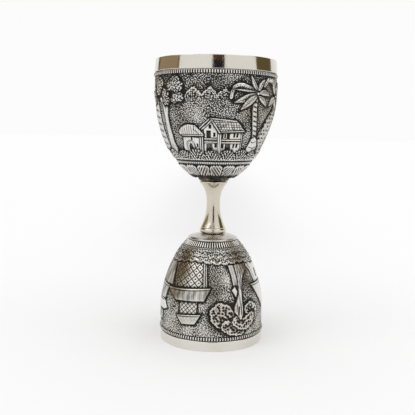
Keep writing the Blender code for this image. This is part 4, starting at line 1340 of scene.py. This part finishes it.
PLATE_TOP = 41.2
PLATE_THICKNESS = 1.5
PLATE_EDGE = 0.5
PLATE_UNDER = PLATE_TOP - PLATE_THICKNESS
PLATE_SLOPE_START = 5.5
PLATE_PEG_RADIUS = 4.0
PLATE_SILVER = bright_silver("plate_silver", (0.56, 0.54, 0.50), (0.30, 0.255, 0.19),
                             tarnish=0.5, dull=0.16, gloss=0.12, scratches=1.0, bump=0.006)
plate_low, plate_high = (corner.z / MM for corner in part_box("foot_plate"))
plate_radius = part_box("foot_plate")[1].x / MM
plate_outline = rounded([
    (0.0, plate_high), (PLATE_PEG_RADIUS, plate_high), (PLATE_PEG_RADIUS, PLATE_TOP),
    (PLATE_SLOPE_START, PLATE_TOP), (SMALL_CUP.seat, PLATE_UNDER + PLATE_EDGE),
    (plate_radius, plate_low + PLATE_EDGE), (plate_radius, plate_low), (SMALL_CUP.seat, PLATE_UNDER),
    (0.0, PLATE_UNDER),
], 0.3, 5, True)
fit(turned("foot_plate_disc", plate_outline, 256), "polished_silver", PLATE_SILVER, "foot_plate")


# THE STEM
# A hollow stem is spun from silver tube. It narrows above its middle, has a short upright lip at the
# top and a rolled bead at its foot, and is polished, with the faint marks of years of handling.

STEM_WALL = 0.7
STEM_WAIST = 2.62
STEM_WAIST_RISE = 10.5
STEM_TOP = 5.5
STEM_FOOT = 5.2
STEM_LIP = 0.5
STEM_FOOT_LIP = 1.2
BEAD_MIDDLE = 4.35
BEAD_WIDTH = 0.85
BEAD_RISE = 0.95
BEAD_HEIGHT = 1.05
STEM_SILVER = bright_silver("stem_silver", (0.66, 0.615, 0.52), (0.44, 0.36, 0.25),
                            tarnish=0.35, dull=0.1, gloss=0.07, scratches=0.8, bump=0.004)
stem_low, stem_high = (corner.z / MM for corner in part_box("stem"))


def stem_outline():
    """The radius grows from the waist by a power of the distance: the third power upwards and the
    power 1.9 downwards. The foot adds a bead, most of a half ellipse in section."""
    waist = stem_low + STEM_WAIST_RISE
    height = np.concatenate([[stem_high], np.linspace(stem_high - STEM_LIP, stem_low + 2.0, 90)])
    up = np.clip((height - waist) / (stem_high - STEM_LIP - waist), 0.0, 1.0)
    down = np.clip((waist - height) / (waist - stem_low - STEM_FOOT_LIP), 0.0, 1.0)
    radius = STEM_WAIST + (STEM_TOP - STEM_WAIST) * up ** 3.0 + (STEM_FOOT - STEM_WAIST) * down ** 1.9
    outer = rounded(np.stack([radius, height], 1), 0.18, 4, True)
    turn = np.linspace(0.42 * math.pi, -0.36 * math.pi, 14)
    bead_radius = BEAD_MIDDLE + BEAD_WIDTH * np.cos(turn)
    bead = np.stack([bead_radius, stem_low + BEAD_RISE + BEAD_HEIGHT * np.sin(turn)], 1)
    inner = np.stack([radius - STEM_WALL, height], 1)[::-1]
    return np.concatenate([outer, bead, [[4.7, stem_low]], [[4.0, stem_low]], inner])


fit(turned("stem_tube", stem_outline(), 160), "polished_silver", STEM_SILVER, "stem")


# THE COLLAR DISC
# A round-edged washer sits between the petals and the stem. It has never been polished, and the
# oxide on it is nearly black. A peg on it centres the stem's upper end.

DISC_THICKNESS = 1.2
DISC_PEG_RADIUS = 3.4
disc_low, disc_high = (corner.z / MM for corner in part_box("collar_disc"))
disc_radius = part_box("collar_disc")[1].x / MM


def disc_outline():
    """A washer with a half-round edge, over a peg as deep as the CAD node's."""
    half = 0.5 * DISC_THICKNESS
    turn = np.linspace(0.5 * math.pi, -0.5 * math.pi, 14)
    edge = np.stack([disc_radius - half + half * np.cos(turn), disc_high - half + half * np.sin(turn)], 1)
    peg = [(DISC_PEG_RADIUS, disc_high - DISC_THICKNESS), (DISC_PEG_RADIUS, disc_low), (0.0, disc_low)]
    return np.concatenate([[(0.0, disc_high)], edge, peg])


def make_oxidised_silver():
    """Blackened silver, brown where it thins."""
    material, tree, shader = new_material("oxidised_silver")
    shader.inputs["Metallic"].default_value = 0.8
    thin = ramp(tree, noise(tree, 260.0, 3.0), 0.46, 0.66)
    colour = mix_colours(tree, thin, (0.045, 0.033, 0.022), (0.42, 0.34, 0.24))
    tree.links.new(colour, shader.inputs["Base Color"])
    tree.links.new(ramp(tree, noise(tree, 900.0, 3.0), 0.3, 0.7, 0.22, 0.45), shader.inputs["Roughness"])
    add_bump(tree, noise(tree, 1500.0, 3.0), 0.6, 0.04)
    return material


fit(turned("collar_washer", disc_outline(), 160), "oxidised_silver", make_oxidised_silver(), "collar_disc")


# THE STUDIO
# The jigger stands on a plain white table in a bright tent. Brown and dark cards stand outside the
# view, where the polished bands and the stem mirror them.

FLOOR_WHITE = 0.955
PAINTED_SHADOW_GREY = 0.87 * FLOOR_WHITE
CARD_DISTANCE = 0.5
CARD_CENTRE = 0.104
CARD_POINTS = 12


def panel(name, points, faces, material):
    """A stage piece from points in metres."""
    mesh = bpy.data.meshes.new(name)
    mesh.from_pydata(points, [], faces)
    mesh.materials.append(material)
    piece = bpy.data.objects.new(name, mesh)
    bpy.context.scene.collection.objects.link(piece)
    return piece


def stage_surface(name, colour):
    """A material for the stage that is matt all over, with its node tree and its shader."""
    material, tree, shader = new_material(name)
    shader.inputs["Base Color"].default_value = (*colour, 1.0)
    shader.inputs["Roughness"].default_value = 1.0
    shader.inputs["Specular IOR Level"].default_value = 0.0
    return material, tree, shader


def white_table():
    """The table's white paper, with a painted soft shadow behind the jigger. From the place (x, y) in
    metres, the painted shadow's share is 2^-((x / 0.05)^2 + ((y - 0.45) / 0.6)^2), fading out towards y = 0."""
    material, tree, shader = stage_surface("white_table", (FLOOR_WHITE,) * 3)
    parts = node(tree, "ShaderNodeSeparateXYZ")
    tree.links.new(node(tree, "ShaderNodeTexCoord").outputs["Object"], parts.inputs[0])
    aside = math_node(tree, "DIVIDE", parts.outputs["X"], 0.05)
    along = math_node(tree, "DIVIDE", math_node(tree, "SUBTRACT", parts.outputs["Y"], 0.45), 0.6)
    aside = math_node(tree, "MULTIPLY", aside, aside)
    along = math_node(tree, "MULTIPLY", along, along)
    share = math_node(tree, "POWER", 0.5, math_node(tree, "ADD", aside, along))
    share = math_node(tree, "MULTIPLY", share, ramp(tree, parts.outputs["Y"], 0.0, 0.25))
    # Painted shadow: the paper greys towards the soft patch behind the jigger.
    paper = mix_colours(tree, share, (FLOOR_WHITE,) * 3, (PAINTED_SHADOW_GREY,) * 3)
    tree.links.new(paper, shader.inputs["Base Color"])
    return material


panel("table_top", [(-6, -6, 0), (6, -6, 0), (6, 6, 0), (-6, 6, 0)], [(0, 1, 2, 3)], white_table())


def card(name, left, right, low, high, colour):
    """An upright arc of glowing paper, seen from the jigger between two angles and two elevations,
    in degrees. Only mirror rays see it, and it throws no light and no shadow."""
    material, _, shader = stage_surface(name + "_paper", (0.0, 0.0, 0.0))
    shader.inputs["Emission Color"].default_value = (*colour, 1.0)
    shader.inputs["Emission Strength"].default_value = 1.0
    angles = np.radians(np.linspace(left, right, CARD_POINTS))
    points = []
    for elevation in (low, high):
        height = CARD_CENTRE + CARD_DISTANCE * math.tan(math.radians(elevation))
        points += [(CARD_DISTANCE * math.sin(a), -CARD_DISTANCE * math.cos(a), height) for a in angles]
    faces = [(i, i + 1, i + CARD_POINTS + 1, i + CARD_POINTS) for i in range(CARD_POINTS - 1)]
    piece = panel(name, points, faces, material)
    piece.visible_camera = False
    piece.visible_diffuse = False
    piece.visible_shadow = False
    piece.visible_transmission = False


card("tan_card_edge", -134.0, -126.0, 3.0, 20.0, (0.15, 0.115, 0.07))
card("tan_card", -126.0, -74.0, 3.0, 20.0, (0.355, 0.272, 0.172))
card("tan_card_fold", -74.0, -70.0, 3.0, 20.0, (0.21, 0.155, 0.095))
card("brown_card", -150.0, -92.0, 20.0, 48.0, (0.085, 0.065, 0.04))
card("maroon_card", -6.4, 15.6, 15.4, 28.0, (0.09, 0.048, 0.033))
card("dark_card", -6.4, 15.6, -11.5, 15.4, (0.022, 0.021, 0.026))
card("grey_card", -50.0, 20.0, 32.0, 40.0, (0.11, 0.10, 0.125))
card("olive_card", 78.0, 121.0, 3.0, 20.0, (0.135, 0.105, 0.045))
card("umber_card", 80.0, 126.0, 20.0, 48.0, (0.07, 0.055, 0.03))

# The tent is a little brighter to the camera and in mirrors than in the light that it throws.

world = bpy.data.worlds.new("tent")
bpy.context.scene.world = world
world.use_nodes = True
tent = world.node_tree
background = tent.nodes["Background"]
background.inputs["Color"].default_value = (0.83, 0.83, 0.83, 1.0)
background.inputs["Strength"].default_value = 1.0
white = node(tent, "ShaderNodeBackground", Color=(0.97, 0.97, 0.97, 1.0), Strength=1.0)
seen = node(tent, "ShaderNodeLightPath")
mirrored = math_node(tent, "MAXIMUM", seen.outputs["Is Glossy Ray"], seen.outputs["Is Transmission Ray"])
both = node(tent, "ShaderNodeMixShader")
tent.links.new(math_node(tent, "MAXIMUM", seen.outputs["Is Camera Ray"], mirrored), both.inputs["Fac"])
tent.links.new(background.outputs["Background"], both.inputs[1])
tent.links.new(white.outputs["Background"], both.inputs[2])
tent.links.new(both.outputs["Shader"], tent.nodes["World Output"].inputs["Surface"])


def lamp(name, azimuth, elevation, strength, spread):
    """A soft distant lamp, from the given side and height in degrees."""
    data = bpy.data.lights.new(name, "SUN")
    data.energy = strength
    data.angle = math.radians(spread)
    made = bpy.data.objects.new(name, data)
    a, e = math.radians(azimuth), math.radians(elevation)
    towards = Vector((math.sin(a) * math.cos(e), -math.cos(a) * math.cos(e), math.sin(e)))
    made.rotation_mode = "QUATERNION"
    made.rotation_quaternion = towards.to_track_quat("Z", "Y")
    bpy.context.scene.collection.objects.link(made)


lamp("soft_box_left", -50.0, 52.0, 0.40, 45.0)
lamp("soft_box_right", 55.0, 60.0, 0.32, 45.0)
lamp("front_window", 0.0, 49.0, 0.06, 16.0)

# The camera, in metres and degrees: its focal length and the image's width are in pixels, and it
# looks down, a little to the left, with a slight roll.

FOCAL_LENGTH = 640.0
IMAGE_WIDTH = 415.0
SENSOR_WIDTH = 36.0
LOOKS_DOWN = 6.982
LOOKS_LEFT = 0.5178
ROLL = 1.0762

camera_data = bpy.data.cameras.new("camera")
camera_data.sensor_width = SENSOR_WIDTH
camera_data.lens = FOCAL_LENGTH / IMAGE_WIDTH * SENSOR_WIDTH
camera = bpy.data.objects.new("camera", camera_data)
camera.location = (0.0, -0.247094, 0.081312)
camera.rotation_mode = "QUATERNION"
aimed = (Matrix.Rotation(math.radians(LOOKS_LEFT), 3, "Z")
         @ Matrix.Rotation(math.radians(90.0 - LOOKS_DOWN), 3, "X")
         @ Matrix.Rotation(math.radians(ROLL), 3, "Z"))
camera.rotation_quaternion = aimed.to_quaternion()
bpy.context.scene.collection.objects.link(camera)
bpy.context.scene.camera = camera
bpy.context.scene.view_settings.view_transform = "Standard"
